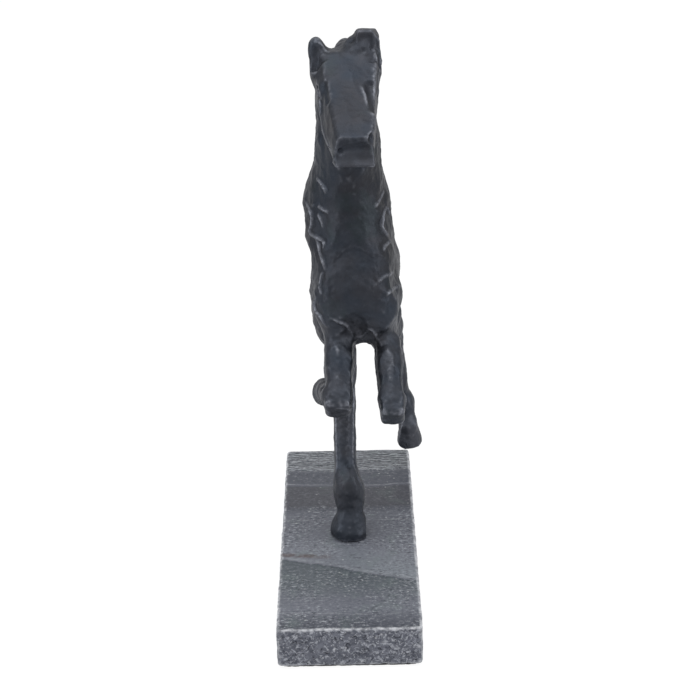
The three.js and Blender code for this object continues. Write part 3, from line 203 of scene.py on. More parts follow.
# neck: jugular furrow, windpipe and the line under the crest
for sx, s2 in ((-1, -1), (1, 1)):
    neck += [
        C([4 + sx * 14.4, -57, 300], [5 + sx * 16.4, -64, 262], 1.6, 2.4, 1, 4.5, '-'),
        C([4 + sx * 12.6, -26, 312], [5 + sx * 14.4, -8, 268], 1.6, 2.0, 1, 4.5, '-'),
    ]
# torso: shoulder blade edge, elbow furrow, flank hollow, haunch and hamstring furrows, girth line
for sx in (-1, 1):
    cx = 6.6
    torso += [
        C([cx + sx * 20.5, -22, 250], [cx + sx * 21.0, -40, 206], 2.0, 2.6, 1, 5, '-'),
        C([cx + sx * 20.2, -12, 212], [cx + sx * 20.0, 14, 176], 1.6, 1.2, 1, 4.5, '-'),
        E([cx + sx * 21.4, 30, 190], [3.6, 13, 9], A, 5, '-'),
        C([cx + sx * 20.6, 76, 200], [cx + sx * 20.6, 68, 168], 1.4, 1.8, 1, 4.5, '-'),
    ]
torso += [C([6.6, 14, 245.5], [6.9, 66, 211.5], 1.1, 1.0, 1, 3.5, '-')]
# hooves: hollow soles with a frog, tendons on the cannons
foreR += [E([-11.4, -31.0, 131.8], [4.4, 2.0, 4.0], 33, 1.0, '-'),
          C([-7.4, -88, 151.6], [-8.6, -62, 144.0], 1.7, 1.7, 1, 1.6)]
foreL += [E([25.4, -31.0, 125.8], [4.2, 2.0, 4.0], 33, 1.0, '-'),
          C([24.8, -88, 146.6], [25.2, -62, 137.6], 1.7, 1.7, 1, 1.6)]
hindL += [E([39.9, 81.4, 38.6], [4.8, 5.2, 2.4], -12, 1.0, '-'), C([39.8, 86.4, 42.0], [39.7, 80.6, 40.4], 1.7, .7, 1, .8)]


# ------------------------------------------------------------------ hair
def spline(pts, n):
    pts = np.array(pts, float)
    p = np.vstack([2 * pts[0] - pts[1], pts, 2 * pts[-1] - pts[-2]])
    out = []
    m = len(pts) - 1
    for q in np.linspace(0, m, n):
        i = min(int(q), m - 1)
        t = q - i
        a, b, c, d = p[i], p[i + 1], p[i + 2], p[i + 3]
        out.append(.5 * ((2 * b) + (-a + c) * t + (2 * a - 5 * b + 4 * c - d) * t * t + (-a + 3 * b - 3 * c + d) * t ** 3))
    return np.array(out)


rng = np.random.default_rng(41)
CREST = np.array([[4.0, -44, 333], [4.0, -32.5, 327], [4.0, -20.0, 311], [4.2, -9.0, 292], [4.5, -1.5, 272], [5.0, 7.0, 254]], float)
crest_pts = spline(CREST, 60)
locks = []                       # (points, radii)
n_lock = 30
for i in range(n_lock):
    s = (i + .5) / n_lock
    q = crest_pts[int(s * 59)]
    t = crest_pts[min(int(s * 59) + 1, 59)] - crest_pts[max(int(s * 59) - 1, 0)]
    t /= np.linalg.norm(t)
    out = np.array([0, -t[2], t[1]])
    if out[1] < 0:
        out = -out
    side = -1 if i % 2 else 1
    if i % 5 == 4:
        side = 0
    L = rng.uniform(15, 22) * (0.72 + .5 * math.sin(math.pi * (0.15 + .8 * s)))
    lift = rng.uniform(.55, 1.0)
    droop = rng.uniform(.35, .8)
    lat = side * rng.uniform(.9, 1.6)
    hid = float(np.clip((s - .30) / .22, 0, 1))       # close to the poll the mane lies inside the crest
    lat *= .45 + .55 * hid
    lift *= .15 + .85 * hid
    q = q - out * 4.2 * (1 - hid)
    p0 = q - out * 5.0 + np.array([side * 1.2, 0, 0]) - t * 2.0
    p1 = q + out * 1.6 * lift + np.array([lat * 2.2, 0, 0]) + t * 1.0
    p2 = q + out * (3.2 * lift) + np.array([lat * 3.9, 0, 0]) + t * L * .42
    p3 = q + out * (2.6 * lift + 1.0) + np.array([lat * 4.7, 0, 0]) + t * L * .75 + np.array([0, 0, -2.0 * droop])
    p4 = q + out * (4.2 * lift + 1.5) + np.array([lat * 4.9, 0, 0]) + t * L * 1.05 + np.array([0, 1.5, -3.2 * droop])
    pts = spline([p0, p1, p2, p3, p4], 9)
    r = np.interp(np.linspace(0, 1, 9), [0, .25, .6, .85, 1], [2.4, 3.0, 2.6, 1.7, .55]) * rng.uniform(.85, 1.12)
    locks.append((pts, r))
mane = []
for pts, r in locks:
    mane += chain(pts, r, 1.0, 1.0, 1.1)

tail_pts = spline(TAIL_LINE[1:], 22)
tail_rad = np.interp(np.linspace(0, 1, 22), np.linspace(0, 1, 9), [7.4, 7.6, 8.6, 9.6, 10.4, 10.0, 8.2, 5.6, 2.2])
strands = []
n_str = 15
for j in range(n_str):
    ph = 2 * math.pi * j / n_str + rng.uniform(-.12, .12)
    tw = rng.uniform(.5, 1.1)
    pts, rr = [], []
    end = rng.integers(18, 22)
    for i in range(0, end):
        q = tail_pts[i]
        t = tail_pts[min(i + 1, 21)] - tail_pts[max(i - 1, 0)]
        t /= np.linalg.norm(t)
        nrm = np.array([0, -t[2], t[1]])
        u = i / 21
        f = ph + tw * u * 1.5 + .25 * math.sin(6 * u + j)
        a = tail_rad[i]
        off = (np.array([1, 0, 0]) * math.cos(f) * .66 + nrm * math.sin(f)) * (a - 1.7 - .4 * u) * (1.0 + .05 * math.sin(9 * u + 2 * j))
        pts.append(q + off)
        rr.append(max(.55, (2.7 - .6 * u) * (1 if i < end - 5 else (end - i) / 5.5)) * (1 + .10 * math.sin(3 * u + j)))
    strands.append((np.array(pts), np.array(rr)))
hair_tail = []
for pts, r in strands:
    hair_tail += chain(pts, r, 1.0, .9, 1.2)

GROUPS = [('torso', torso, 0), ('neck', neck, 9), ('head', head, 5), ('earR', earR, 4.5), ('earL', earL, 4.5),
          ('foreR', foreR, 7), ('foreL', foreL, 7), ('hindR', hindR, 8), ('hindL', hindL, 8), ('tail', tail, 5),
          ('mane', mane, 1.6), ('hair', hair_tail, 1.2)]


# ================================================================== distance to the forms
def smin(a, b, k):
    if k <= 0:
        return np.minimum(a, b)
    h = np.maximum(k - np.abs(a - b), 0) / k
    return np.minimum(a, b) - h * h * k * .25


def smax(a, b, k):
    return -smin(-a, -b, k)


def ell(p, c, r, deg):
    t = math.radians(deg)
    ca, sa = math.cos(t), math.sin(t)
    x = p[:, 0] - c[0]
    y = p[:, 1] - c[1]
    z = p[:, 2] - c[2]
    u = y * ca - z * sa
    v = y * sa + z * ca
    k0 = np.sqrt((x / r[0]) ** 2 + (u / r[1]) ** 2 + (v / r[2]) ** 2)
    k1 = np.sqrt((x / r[0] ** 2) ** 2 + (u / r[1] ** 2) ** 2 + (v / r[2] ** 2) ** 2)
    return k0 * (k0 - 1) / np.maximum(k1, 1e-6)


def rcone(p, a, b, r1, r2, s):
    a = np.array([a[0] / s, a[1], a[2]])
    b = np.array([b[0] / s, b[1], b[2]])
    q = p.copy()
    q[:, 0] /= s
    ba = b - a
    l2 = ba @ ba
    rr = r1 - r2
    a2 = l2 - rr * rr
    if a2 <= 0:
        c, r = (a, r1) if r1 > r2 else (b, r2)
        return (np.sqrt(((q - c) ** 2).sum(1)) - r) * min(1.0, s)
    il2 = 1 / l2
    pa = q - a
    y = pa @ ba
    z = y - l2
    w = pa * l2 - y[:, None] * ba
    x2 = (w * w).sum(1)
    y2 = y * y * l2
    z2 = z * z * l2
    k = np.sign(rr) * rr * rr * x2
    d = (np.sqrt(x2 * a2 * il2) + y * rr) * il2 - r1
    c1 = np.sign(z) * a2 * z2 > k
    c2 = (~c1) & (np.sign(y) * a2 * y2 < k)
    d = np.where(c1, np.sqrt(x2 + z2) * il2 - r2, d)
    d = np.where(c2, np.sqrt(x2 + y2) * il2 - r1, d)
    return d * min(1.0, s)


def rbox(p, c, r, deg, rd):
    t = math.radians(deg)
    ca, sa = math.cos(t), math.sin(t)
    x = p[:, 0] - c[0]
    y = p[:, 1] - c[1]
    z = p[:, 2] - c[2]
    q = np.abs(np.stack([x, y * ca - z * sa, y * sa + z * ca], 1)) - (r - rd)
    return np.sqrt((np.maximum(q, 0) ** 2).sum(1)) + np.minimum(q.max(1), 0) - rd


def half(p, c, n, R):
    d = p - c
    n = n / np.linalg.norm(n)
    return np.maximum(-(d @ n), np.sqrt((d * d).sum(1)) - R)


def prim(p, q):
    if q[1] == 'E':
        return ell(p, q[2], q[3], q[4])
    if q[1] == 'B':
        return rbox(p, q[2], q[3], q[4], q[5])
    if q[1] == 'P':
        return half(p, q[2], q[3], q[4])
    return rcone(p, q[2], q[3], q[4], q[5], q[6])


def bound(q):
    if q[1] in 'EB':
        m = max(q[3]) * (1.0 if q[1] == 'E' else 1.5)
        return q[2] - m, q[2] + m
    if q[1] == 'P':
        return q[2] - q[4], q[2] + q[4]
    s = max(1.0, q[6])
    return np.minimum(q[2] - q[4] * s, q[3] - q[5] * s), np.maximum(q[2] + q[4] * s, q[3] + q[5] * s)


FAR = 60.0
TABLE = []
for name, prims, k in GROUPS:
    lo = np.array([bound(q)[0] - abs(q[-1]) - 5.4 * FINE - .4 for q in prims])
    hi = np.array([bound(q)[1] + abs(q[-1]) + 5.4 * FINE + .4 for q in prims])
    TABLE.append((name, prims, k, lo, hi))


def block_field(p, only=None):
    lo, hi = p.min(0), p.max(0)
    d = None
    for name, prims, k, plo, phi in TABLE:
        if only is not None and name not in only:
            continue
        g = np.full(len(p), FAR)
        near = ~(np.any(plo > hi, axis=1) | np.any(phi < lo, axis=1))
        for i in np.nonzero(near)[0]:
            q = prims[i]
            m = np.all((p > plo[i]) & (p < phi[i]), axis=1)
            if not m.any():
                continue
            v = prim(p[m], q)
            g[m] = smin(g[m], v, q[-1]) if q[0] == '+' else smax(g[m], -v, q[-1])
        d = g if d is None else smin(d, g, k)
    return d


def field(p, only=None, size=22.0):
    key = np.floor(p / size).astype(np.int64)
    key = (key[:, 0] * 4096 + key[:, 1]) * 4096 + key[:, 2]
    order = np.argsort(key, kind='stable')
    cut = np.nonzero(np.diff(key[order]))[0] + 1
    out = np.empty(len(p))
    for part in np.split(order, cut):
        out[part] = block_field(p[part], only)
    return out


# ================================================================== skin of a distance field as a closed mesh
def skin(fn, lo, hi, h, coarse=4):
    nc = np.ceil((hi - lo) / (h * coarse)).astype(int) + 1
    g = np.stack(np.meshgrid(*[np.arange(m + 1) for m in nc], indexing='ij'), -1)
    D = fn((lo + g.reshape(-1, 3) * (h * coarse))).reshape(g.shape[:3])
    lowest = np.full(tuple(nc), 1e9)
    for dx in (0, 1):
        for dy in (0, 1):
            for dz in (0, 1):
                lowest = np.minimum(lowest, np.abs(D[dx:nc[0] + dx, dy:nc[1] + dy, dz:nc[2] + dz]))
    active = np.argwhere(lowest < coarse * h * 1.3)
    n = nc * coarse + 1
    sign = np.where(D[:-1, :-1, :-1] < 0, -1e3, 1e3).astype(np.float32)
    V = np.full(tuple(n), 1e3, np.float32)
    V[:-1, :-1, :-1] = np.repeat(np.repeat(np.repeat(sign, coarse, 0), coarse, 1), coarse, 2)
    o = np.stack(np.meshgrid(*[np.arange(coarse)] * 3, indexing='ij'), -1).reshape(-1, 3)
    idx = (active[:, None, :] * coarse + o[None]).reshape(-1, 3)
    V[idx[:, 0], idx[:, 1], idx[:, 2]] = fn(lo + idx * h)
    S = V < 0
    N = n - 1
    tot = np.zeros(tuple(N), np.int8)
    for dx in (0, 1):
        for dy in (0, 1):
            for dz in (0, 1):
                tot += S[dx:N[0] + dx, dy:N[1] + dy, dz:N[2] + dz]
    mixed = (tot > 0) & (tot < 8)
    idx = np.argwhere(mixed)
    ids = np.full(tuple(N), -1, np.int32)
    ids[mixed] = np.arange(len(idx))
    offs = [(0, 0, 0), (1, 0, 0), (0, 1, 0), (1, 1, 0), (0, 0, 1), (1, 0, 1), (0, 1, 1), (1, 1, 1)]
    edges = [(0, 1), (2, 3), (4, 5), (6, 7), (0, 2), (1, 3), (4, 6), (5, 7), (0, 4), (1, 5), (2, 6), (3, 7)]
    vals = np.stack([V[idx[:, 0] + q[0], idx[:, 1] + q[1], idx[:, 2] + q[2]] for q in offs], 1).astype(float)
    Pp = np.zeros((len(idx), 3))
    cnt = np.zeros(len(idx))
    for a, b in edges:
        va, vb = vals[:, a], vals[:, b]
        m = (va < 0) != (vb < 0)
        t = np.where(m, va / np.where(m, va - vb, 1), 0)
        pa, pb = np.array(offs[a], float), np.array(offs[b], float)
        Pp += np.where(m[:, None], pa + (pb - pa) * t[:, None], 0)
        cnt += m
    verts = lo + (idx + Pp / cnt[:, None]) * h
    quads = []
    for ax in range(3):
        o = np.zeros(3, int)
        o[ax] = 1
        Aa = S[:n[0] - o[0], :n[1] - o[1], :n[2] - o[2]]
        Bb = S[o[0]:, o[1]:, o[2]:]
        Ed = np.argwhere(Aa != Bb)
        u, w = (ax + 1) % 3, (ax + 2) % 3
        Ed = Ed[(Ed[:, u] > 0) & (Ed[:, w] > 0) & (Ed[:, u] < N[u]) & (Ed[:, w] < N[w])]
        inside = Aa[Ed[:, 0], Ed[:, 1], Ed[:, 2]]

        def cid(du, dw):
            c = Ed.copy()
            c[:, u] -= du
            c[:, w] -= dw
            return ids[c[:, 0], c[:, 1], c[:, 2]]
        q = np.stack([cid(1, 1), cid(0, 1), cid(0, 0), cid(1, 0)], 1)
        q[~inside] = q[~inside][:, ::-1]
        quads.append(q)
    return verts, np.concatenate(quads)


def slide(verts, fn, h, rounds=1):
    """vertices move along the field's slope onto the skin"""
    e = .06
    for _ in range(rounds):
        d = fn(verts)
        g = np.stack([fn(verts + np.eye(3)[i] * e) - d for i in range(3)], 1) / e
        g2 = (g * g).sum(1)
        step = np.where(g2 > .05, np.clip(-d / np.sqrt(np.maximum(g2, 1e-6)), -.35 * h, .35 * h), 0)
        verts = verts + g / np.sqrt(np.maximum(g2, 1e-6))[:, None] * step[:, None]
    return verts


def triangles(V, Q):
    d1 = np.linalg.norm(V[Q[:, 0]] - V[Q[:, 2]], axis=1)
    d2 = np.linalg.norm(V[Q[:, 1]] - V[Q[:, 3]], axis=1)
    s = d1 <= d2
    a = Q[s]
    b = Q[~s]
    return np.concatenate([a[:, [0, 1, 2]], a[:, [0, 2, 3]], b[:, [0, 1, 3]], b[:, [1, 2, 3]]])


def normals(V, T):
    fn_ = np.cross(V[T[:, 1]] - V[T[:, 0]], V[T[:, 2]] - V[T[:, 0]])
    N = np.zeros_like(V)
    for c in range(3):
        for ax in range(3):
            N[:, ax] += np.bincount(T[:, c], fn_[:, ax], len(V))
    return N / np.maximum(np.linalg.norm(N, axis=1, keepdims=True), 1e-12)


def pairs(T):
    e = np.sort(np.concatenate([T[:, [0, 1]], T[:, [1, 2]], T[:, [2, 0]]]), 1)
    return np.unique(e, axis=0)


def spread(val, e, n, rounds):
    """averages a value over the mesh's edges, rounds times"""
    deg = np.bincount(e[:, 0], minlength=n) + np.bincount(e[:, 1], minlength=n)
    v = val.astype(float)
    one = v.ndim == 1
    if one:
        v = v[:, None]
    for _ in range(rounds):
        s = np.zeros_like(v)
        for ax in range(v.shape[1]):
            s[:, ax] = np.bincount(e[:, 0], v[e[:, 1], ax], n) + np.bincount(e[:, 1], v[e[:, 0], ax], n)
        v = .35 * v + .65 * s / np.maximum(deg, 1)[:, None]
    return v[:, 0] if one else v


# ------------------------------------------------------------------ noise on points
def hash3(i, j, k, seed):
    n = (i * 73856093) ^ (j * 19349663) ^ (k * 83492791) ^ (seed * 2654435761)
    n = n & 0xFFFFFFFF
    out = []
    for m in (0x9E3779B1, 0x85EBCA77, 0xC2B2AE3D):
        x = (n * m) & 0xFFFFFFFF
        x ^= x >> 15
        x = (x * 0x2C1B3C6D) & 0xFFFFFFFF
        x ^= x >> 12
        out.append((x & 0xFFFFFF) / float(0x1000000))
    return out


def scoops(p, size, seed, jitter=.85):
    """shallow scoops that meet in crests: squared distance to the nearest of a scatter of points, in cells, and the gap to the second"""
    q = p / size
    b = np.floor(q).astype(np.int64)
    f1 = np.full(len(p), 9.0)
    f2 = np.full(len(p), 9.0)
    for dx in (-1, 0, 1):
        for dy in (-1, 0, 1):
            for dz in (-1, 0, 1):
                c = b + np.array([dx, dy, dz])
                hx, hy, hz = hash3(c[:, 0] + 4096, c[:, 1] + 4096, c[:, 2] + 4096, seed)
                d = ((c[:, 0] + .5 + (hx - .5) * jitter - q[:, 0]) ** 2 + (c[:, 1] + .5 + (hy - .5) * jitter - q[:, 1]) ** 2
                     + (c[:, 2] + .5 + (hz - .5) * jitter - q[:, 2]) ** 2)
                m = d < f1
                f2 = np.where(m, f1, np.minimum(f2, d))
                f1 = np.where(m, d, f1)
    return f1, np.sqrt(f2) - np.sqrt(f1)


def vnoise(p, size, seed):
    q = p / size
    b = np.floor(q).astype(np.int64)
    f = q - b
    f = f * f * (3 - 2 * f)
    out = np.zeros(len(p))
    for dx in (0, 1):
        for dy in (0, 1):
            for dz in (0, 1):
                v = hash3(b[:, 0] + dx + 4096, b[:, 1] + dy + 4096, b[:, 2] + dz + 4096, seed)[0]
                w = (f[:, 0] if dx else 1 - f[:, 0]) * (f[:, 1] if dy else 1 - f[:, 1]) * (f[:, 2] if dz else 1 - f[:, 2])
                out += v * w
    return out * 2 - 1


def step01(x, a, b):
    t = np.clip((x - a) / (b - a), 0, 1)
    return t * t * (3 - 2 * t)


# ================================================================== the horse's skin
LO = np.array([-40.0, -122.0, 22.0])
HI = np.array([60.0, 178.0, 348.0])
V, Q = skin(field, LO, HI, FINE)
V = slide(V, field, FINE)
say('skin', len(V), len(Q))
T = triangles(V, Q)
EDG = pairs(T)
N0 = normals(V, T)
NS = spread(N0, EDG, len(V), 3)
NS /= np.maximum(np.linalg.norm(NS, axis=1, keepdims=True), 1e-9)

# share of each vertex that belongs to a part of the animal
dist_of = {g: field(V, only=(g,)) for g in ('torso', 'neck', 'head', 'earR', 'earL', 'foreR', 'foreL', 'hindR', 'hindL', 'tail', 'mane', 'hair')}


def near(*names, a=.4, b=2.2):
    d = np.minimum.reduce([dist_of[n] for n in names])
    return 1 - step01(d, a, b)


w_hair = np.maximum(near('mane', a=.25, b=.9), near('hair', a=.25, b=1.2))
w_ear = near('earR', 'earL', a=.3, b=1.2)
w_head = np.maximum(near('head', a=.5, b=3) * step01(V[:, 1], -44, -56), w_ear) * (1 - w_hair)
w_fore = near('foreR', 'foreL', a=.6, b=5) * (1 - step01(V[:, 2], 176, 196))
w_hind = near('hindR', 'hindL', a=.6, b=5) * (1 - step01(V[:, 2], 138, 160))
w_leg = np.maximum(w_fore, w_hind)
w_neck = near('neck', a=.5, b=5) * (1 - w_head) * step01(V[:, 2], 244, 262)
w_torso = np.clip(1 - w_leg - w_neck - w_head - w_hair, 0, 1)
# the broad flat plane of the chest
w_chest = step01(-V[:, 1], 58, 68) * step01(V[:, 2], 196, 208) * (1 - step01(V[:, 2], 262, 276)) * (1 - step01(np.abs(V[:, 0] - 6.5), 10, 16)) * (1 - w_head)


def stretched(p, axis, f):
    a = np.array(axis, float)
    a /= np.linalg.norm(a)
    t = p @ a
    return p + np.outer(t * (1 / f - 1), a)


body_axis = (0, -math.cos(math.radians(A)), math.sin(math.radians(A)))
s_t, g_t = scoops(stretched(V, (0, -.35, .94), 1.7), 12.5, 3)
s_t2, g_t2 = scoops(stretched(V, body_axis, 1.5), 6.2, 5)
s_n, g_n = scoops(stretched(V, (0, .35, .94), 1.9), 9.5, 7)
s_l, g_l = scoops(stretched(V, (0, .1, 1), 2.2), 6.0, 11)
s_h, g_h = scoops(stretched(V, (0, -HC, -HS), 1.8), 6.4, 13)
soft = lambda s, top=.75: np.minimum(s, top) - .3
D = (w_torso * (1 - .8 * w_chest) * (2.5 * soft(s_t) + .60 * soft(s_t2)) + w_neck * (1 - .5 * w_chest) * 1.7 * soft(s_n)
     + w_leg * .8 * soft(s_l) + w_head * (1 - .6 * w_ear) * .62 * soft(s_h) + w_ear * .25 * soft(s_h)) * (1 - w_hair)
D += w_chest * (1 - w_hair) * .45 * soft(s_t)
D += (.16 * vnoise(V, 2.6, 21) + .10 * vnoise(V, 1.4, 22)) * (1 - .6 * w_hair) * (1 - .5 * w_head)

# combed grooves along each lock and strand
comb = np.zeros(len(V))
best = np.full(len(V), 1e9)
kd_h = KDTree(int((w_hair > .05).sum()) or 1)
hv = np.nonzero(w_hair > .05)[0]
for i in hv:
    kd_h.insert(V[i], int(i))
kd_h.balance()
for pts, r in locks + strands:
    for i in range(len(pts) - 1):
        a, b = pts[i], pts[i + 1]
        reach = max(r[i], r[i + 1]) + np.linalg.norm(b - a) * .5 + 1.5
        near_i = np.array([j for (_, j, _) in kd_h.find_range((a + b) / 2, reach)], int)
        if not len(near_i):
            continue
        p = V[near_i]
        ab = b - a
        t = np.clip(((p - a) @ ab) / (ab @ ab), 0, 1)
        c = a + t[:, None] * ab
        rad = r[i] + (r[i + 1] - r[i]) * t
        off = p - c
        dd = np.linalg.norm(off, axis=1) - rad
        ax = ab / np.linalg.norm(ab)
        e1 = np.cross(ax, [1, 0, 0])
        e1 /= np.linalg.norm(e1)
        e2 = np.cross(ax, e1)
        ang = np.arctan2(off @ e2, off @ e1)
        gr = np.abs(np.sin(ang * 2.5 + i * .12))
        m = dd < best[near_i]
        best[near_i[m]] = dd[m]
        comb[near_i[m]] = gr[m]
D -= w_hair * .34 * (1 - step01(comb, 0, .55)) * (best < 1.2)

# raised seams the modelling tool left, as narrow crests
RIDGES = [
    ([(-11.2, -52.7, 265.5), (-9.2, -57, 264.3), (-7.2, -60.1, 262.2), (-6.2, -61.4, 260.6)], 1.0),
    ([(-10.5, -57.7, 252.4), (-8.5, -61.1, 251.5), (-5.9, -64.1, 250.9)], 1.0),
    ([(-16.4, -43.3, 250.5), (-14.2, -51.6, 249.2), (-13.2, -55.2, 246.2), (-13.3, -56.2, 242.2), (-14, -55.9, 237.8), (-11.4, -62, 236.9), (-8.8, -66.7, 235.9), (-8.9, -67.9, 233.2)], 1.3),
    ([(-11.1, -58.4, 248.4), (-9.6, -61.6, 245.8), (-9.2, -63.4, 242.7)], .8),
    ([(-11.9, -61.2, 236.5), (-11, -64.5, 232.4), (-10.5, -67, 229), (-9.6, -70.2, 226.5), (-9.1, -72.5, 223.7)], 1.1),
    ([(-10.2, -71.1, 222), (-10.8, -71.4, 217.8), (-10.9, -72.3, 213.8), (-10.4, -74.2, 210.8)], .8),
    ([(-12.6, -70.9, 208.2), (-13.8, -69.2, 203.1), (-13.3, -71.1, 200.6), (-10.8, -75.6, 198.6), (-8.3, -76.6, 194.5)], 1.2),
    ([(23, -48.6, 256.9), (21.3, -54.4, 255.3), (19.2, -59.3, 253.9), (17.6, -62.1, 252.9)], .9),
    ([(24.4, -50.7, 249.1), (22.7, -56.6, 247.5), (21.6, -61, 244.3), (22, -62.5, 240.6), (24, -60.7, 236.6)], 1.3),
    ([(24.4, -51, 248.6), (26, -48.1, 243.7)], 1.1),
    ([(25.6, -57.8, 233.3), (23.4, -64.8, 233.4), (22.3, -68.4, 232.2)], .9),
    ([(17.3, -83.5, 218), (20.4, -78.8, 219.2), (23.5, -72.8, 219.8), (26.9, -61.9, 217.4)], .6),
    ([(22.3, -77, 210.7), (25.5, -71.5, 211.5), (28.1, -51.6, 205.2)], .8),
    ([(-4.6, -79.2, 200.1), (-1.1, -78.4, 197.5), (2.3, -75.6, 194.4), (4.8, -69.9, 186.4)], 1.0),
    ([(3.7, -69.8, 185.6), (6.9, -68.3, 187.8), (10, -68.6, 189), (14, -73.6, 193.6), (16.6, -74.6, 190.3), (18.4, -74, 184)], 1.0),
    # edge of the face plane, cheek bones and rims of the muzzle
    ([H(-13.2, 14, -1.0), H(-13.8, 22, -4.5), H(-13.4, 31, -8.2)], .8),
    ([H(-13.0, 33, -9.0), H(-11.2, 44, -8.0), H(-10.8, 54, -6.0), H(-10.0, 61.4, -4.5), H(-10.2, 61.4, -8.5)], .7),
    ([H(5.6, 24, 5.4), H(7.4, 31, 5.4), H(7.9, 37, 5.4)], .35), ([H(10.4, 42, 3.2), H(10.2, 49, 3.4), H(10.0, 55, 3.0)], .8), ([H(12.2, 12, 1.4), H(12.6, 18, -.6), H(12.0, 24, -2)], .8),
    ([(18.6, -58.6, 339), (19.0, -59.2, 333), (18.6, -60.2, 326), (17.6, -62, 320)], .7), ([(20.6, -56, 337), (21.3, -56, 330), (20.6, -57, 322)], .6), ([(-3.2, -57, 329.8), (-5.6, -56, 332.6), (-8.2, -55, 335.4)], .6),
    # legs
    ([(-7.2, 30, 108), (-6.9, 20, 92), (-6.9, 10, 74), (-8.2, 2, 62)], .55), ([(4.6, 30, 108), (5.0, 20, 92), (6.0, 8, 74), (9.0, -1, 63), (10.0, -2, 55)], .8), ([(5.8, 24, 128), (6.4, 28, 118), (5.6, 28, 108)], .7),
    ([(2.6, -66, 184), (3.8, -74, 176.6), (3.9, -83, 170), (3.5, -92, 163)], .5), ([(-8.2, -74, 176), (-8.3, -84, 169.6), (-9.4, -93, 162.5), (-9.4, -98, 157)], .5),
    ([(17.4, -68, 182), (17.9, -76, 175), (18.2, -84, 168.4), (18.4, -93, 160), (18.6, -98, 153)], .5), ([(29.4, -72, 178), (29.6, -82, 170), (30.4, -92, 161), (30.2, -98, 155)], .6),
    ([(23.0, -78, 178), (23.4, -84, 173.2), (23.8, -90, 168)], .45), ([(-4.5, -101.5, 160), (0.5, -101, 160.4), (3, -99, 158)], .4),
    ([(33.2, 62, 132), (34.0, 70, 122), (33.4, 72, 110), (35.5, 74, 96)], .7), ([(24.0, 62, 128), (24.8, 68, 116), (25.6, 70, 104)], .6), ([(33.0, 74, 70), (33.6, 72, 58), (31.8, 74, 46)], .5),
    ([(5.6, -67, 181.6), (10.6, -66.4, 180.8), (15.6, -66, 181.2)], .7), ([(7.2, -70.6, 191), (10.2, -70.2, 193.6), (13.4, -71, 192)], .6),
]
# the same kind of crests carried round the flanks, haunches, neck and legs
for sx in (-1, 1):
    cx = 6.6
    RIDGES += [
        ([(cx + sx * 19, -30, 236), (cx + sx * 19.6, -24, 222), (cx + sx * 19.6, -26, 208), (cx + sx * 19, -34, 196)], .55),
        ([(cx + sx * 18, -8, 232), (cx + sx * 19, 4, 216), (cx + sx * 19, 12, 200), (cx + sx * 18.4, 15, 186)], .4),
        ([(cx + sx * 17.6, 12, 220), (cx + sx * 18.6, 24, 208), (cx + sx * 18.8, 30, 194)], .4),
        ([(cx + sx * 16, 44, 216), (cx + sx * 19, 54, 204), (cx + sx * 20, 60, 188), (cx + sx * 19, 58, 172)], .55),
        ([(cx + sx * 15, 70, 204), (cx + sx * 17, 80, 192), (cx + sx * 16, 82, 176)], .45),
        ([(4 + sx * 12, -30, 300), (4.4 + sx * 14, -24, 286), (5 + sx * 15, -20, 268), (5 + sx * 14, -20, 254)], .45),
        ([(4 + sx * 13, -46, 306), (4.4 + sx * 15, -48, 290), (5 + sx * 16.4, -46, 274)], .45),
        ([(cx + sx * 15.4, 22, 160), (cx + sx * 15.6, 30, 150), (cx + sx * 14.6, 38, 142)], .5),
    ]
crest_val = np.zeros(len(V))
kd_v = KDTree(len(V))
for i, v in enumerate(V):
    kd_v.insert(v, i)
kd_v.balance()
for line, height in RIDGES:
    pts = spline(line, max(6, len(line) * 5))
    dd = np.full(len(V), 1e9)
    tt = np.zeros(len(V))
    touched = set()
    for i in range(len(pts) - 1):
        a, b = pts[i], pts[i + 1]
        near_i = np.array([j for (_, j, _) in kd_v.find_range((a + b) / 2, np.linalg.norm(b - a) * .5 + 5.0)], int)
        if not len(near_i):
            continue
        ab = b - a
        t = np.clip(((V[near_i] - a) @ ab) / max(ab @ ab, 1e-9), 0, 1)
        off = V[near_i] - (a + t[:, None] * ab)
        # measured across the skin, so that a line a little above or below it still marks it
        nn = NS[near_i]
        off = off - (off * nn).sum(1)[:, None] * nn * .85
        dst = np.linalg.norm(off, axis=1)
        m = dst < dd[near_i]
        dd[near_i[m]] = dst[m]
        tt[near_i[m]] = (i + t[m]) / (len(pts) - 1)
    taper = np.clip(np.minimum(tt, 1 - tt) * 7, 0, 1) ** .6
    width = 1.2
    prof = np.clip(1 - dd / width, 0, 1) ** 1.15
    shoulder = np.exp(-(dd / 3.4) ** 2)
    keep = (1 - w_hair)
    D += keep * taper * height * (1.05 * prof - .22 * (shoulder - prof * .5))
    crest_val = np.maximum(crest_val, keep * taper * prof * min(1, height))
V1 = V + NS * D[:, None]
say('detail done')

# edges lightened, partly wear and partly painted highlight, and painted shade in hollows, from how the finished skin
# bends
N1 = normals(V1, T)


def bend(rounds):
    s = spread(V1, EDG, len(V), rounds)
    return ((V1 - s) * N1).sum(1)


b1 = bend(2) / (FINE ** 2) * 1.4
b2 = bend(10) / (FINE ** 2) * .5
edge = np.clip(step01(b1, .05, .42) * .75 + step01(b2, .12, .9) * .5, 0, 1)
hollow = np.clip(step01(-b1, .05, .45) * .6 + step01(-b2, .15, 1.0) * .6, 0, 1)
edge = np.clip(np.maximum(edge, crest_val), 0, 1)
edge = spread(edge, EDG, len(V), 1)
hollow = spread(hollow, EDG, len(V), 1)

# painted light and painted shade: base colour lightened on the knees, breast, between the legs, lower legs, hooves and
# forelock, darkened on the neck, flanks, upper chest and face
def patch(c, r):
    return np.exp(-(((V1 - np.array(c)) / np.array(r)) ** 2).sum(1))


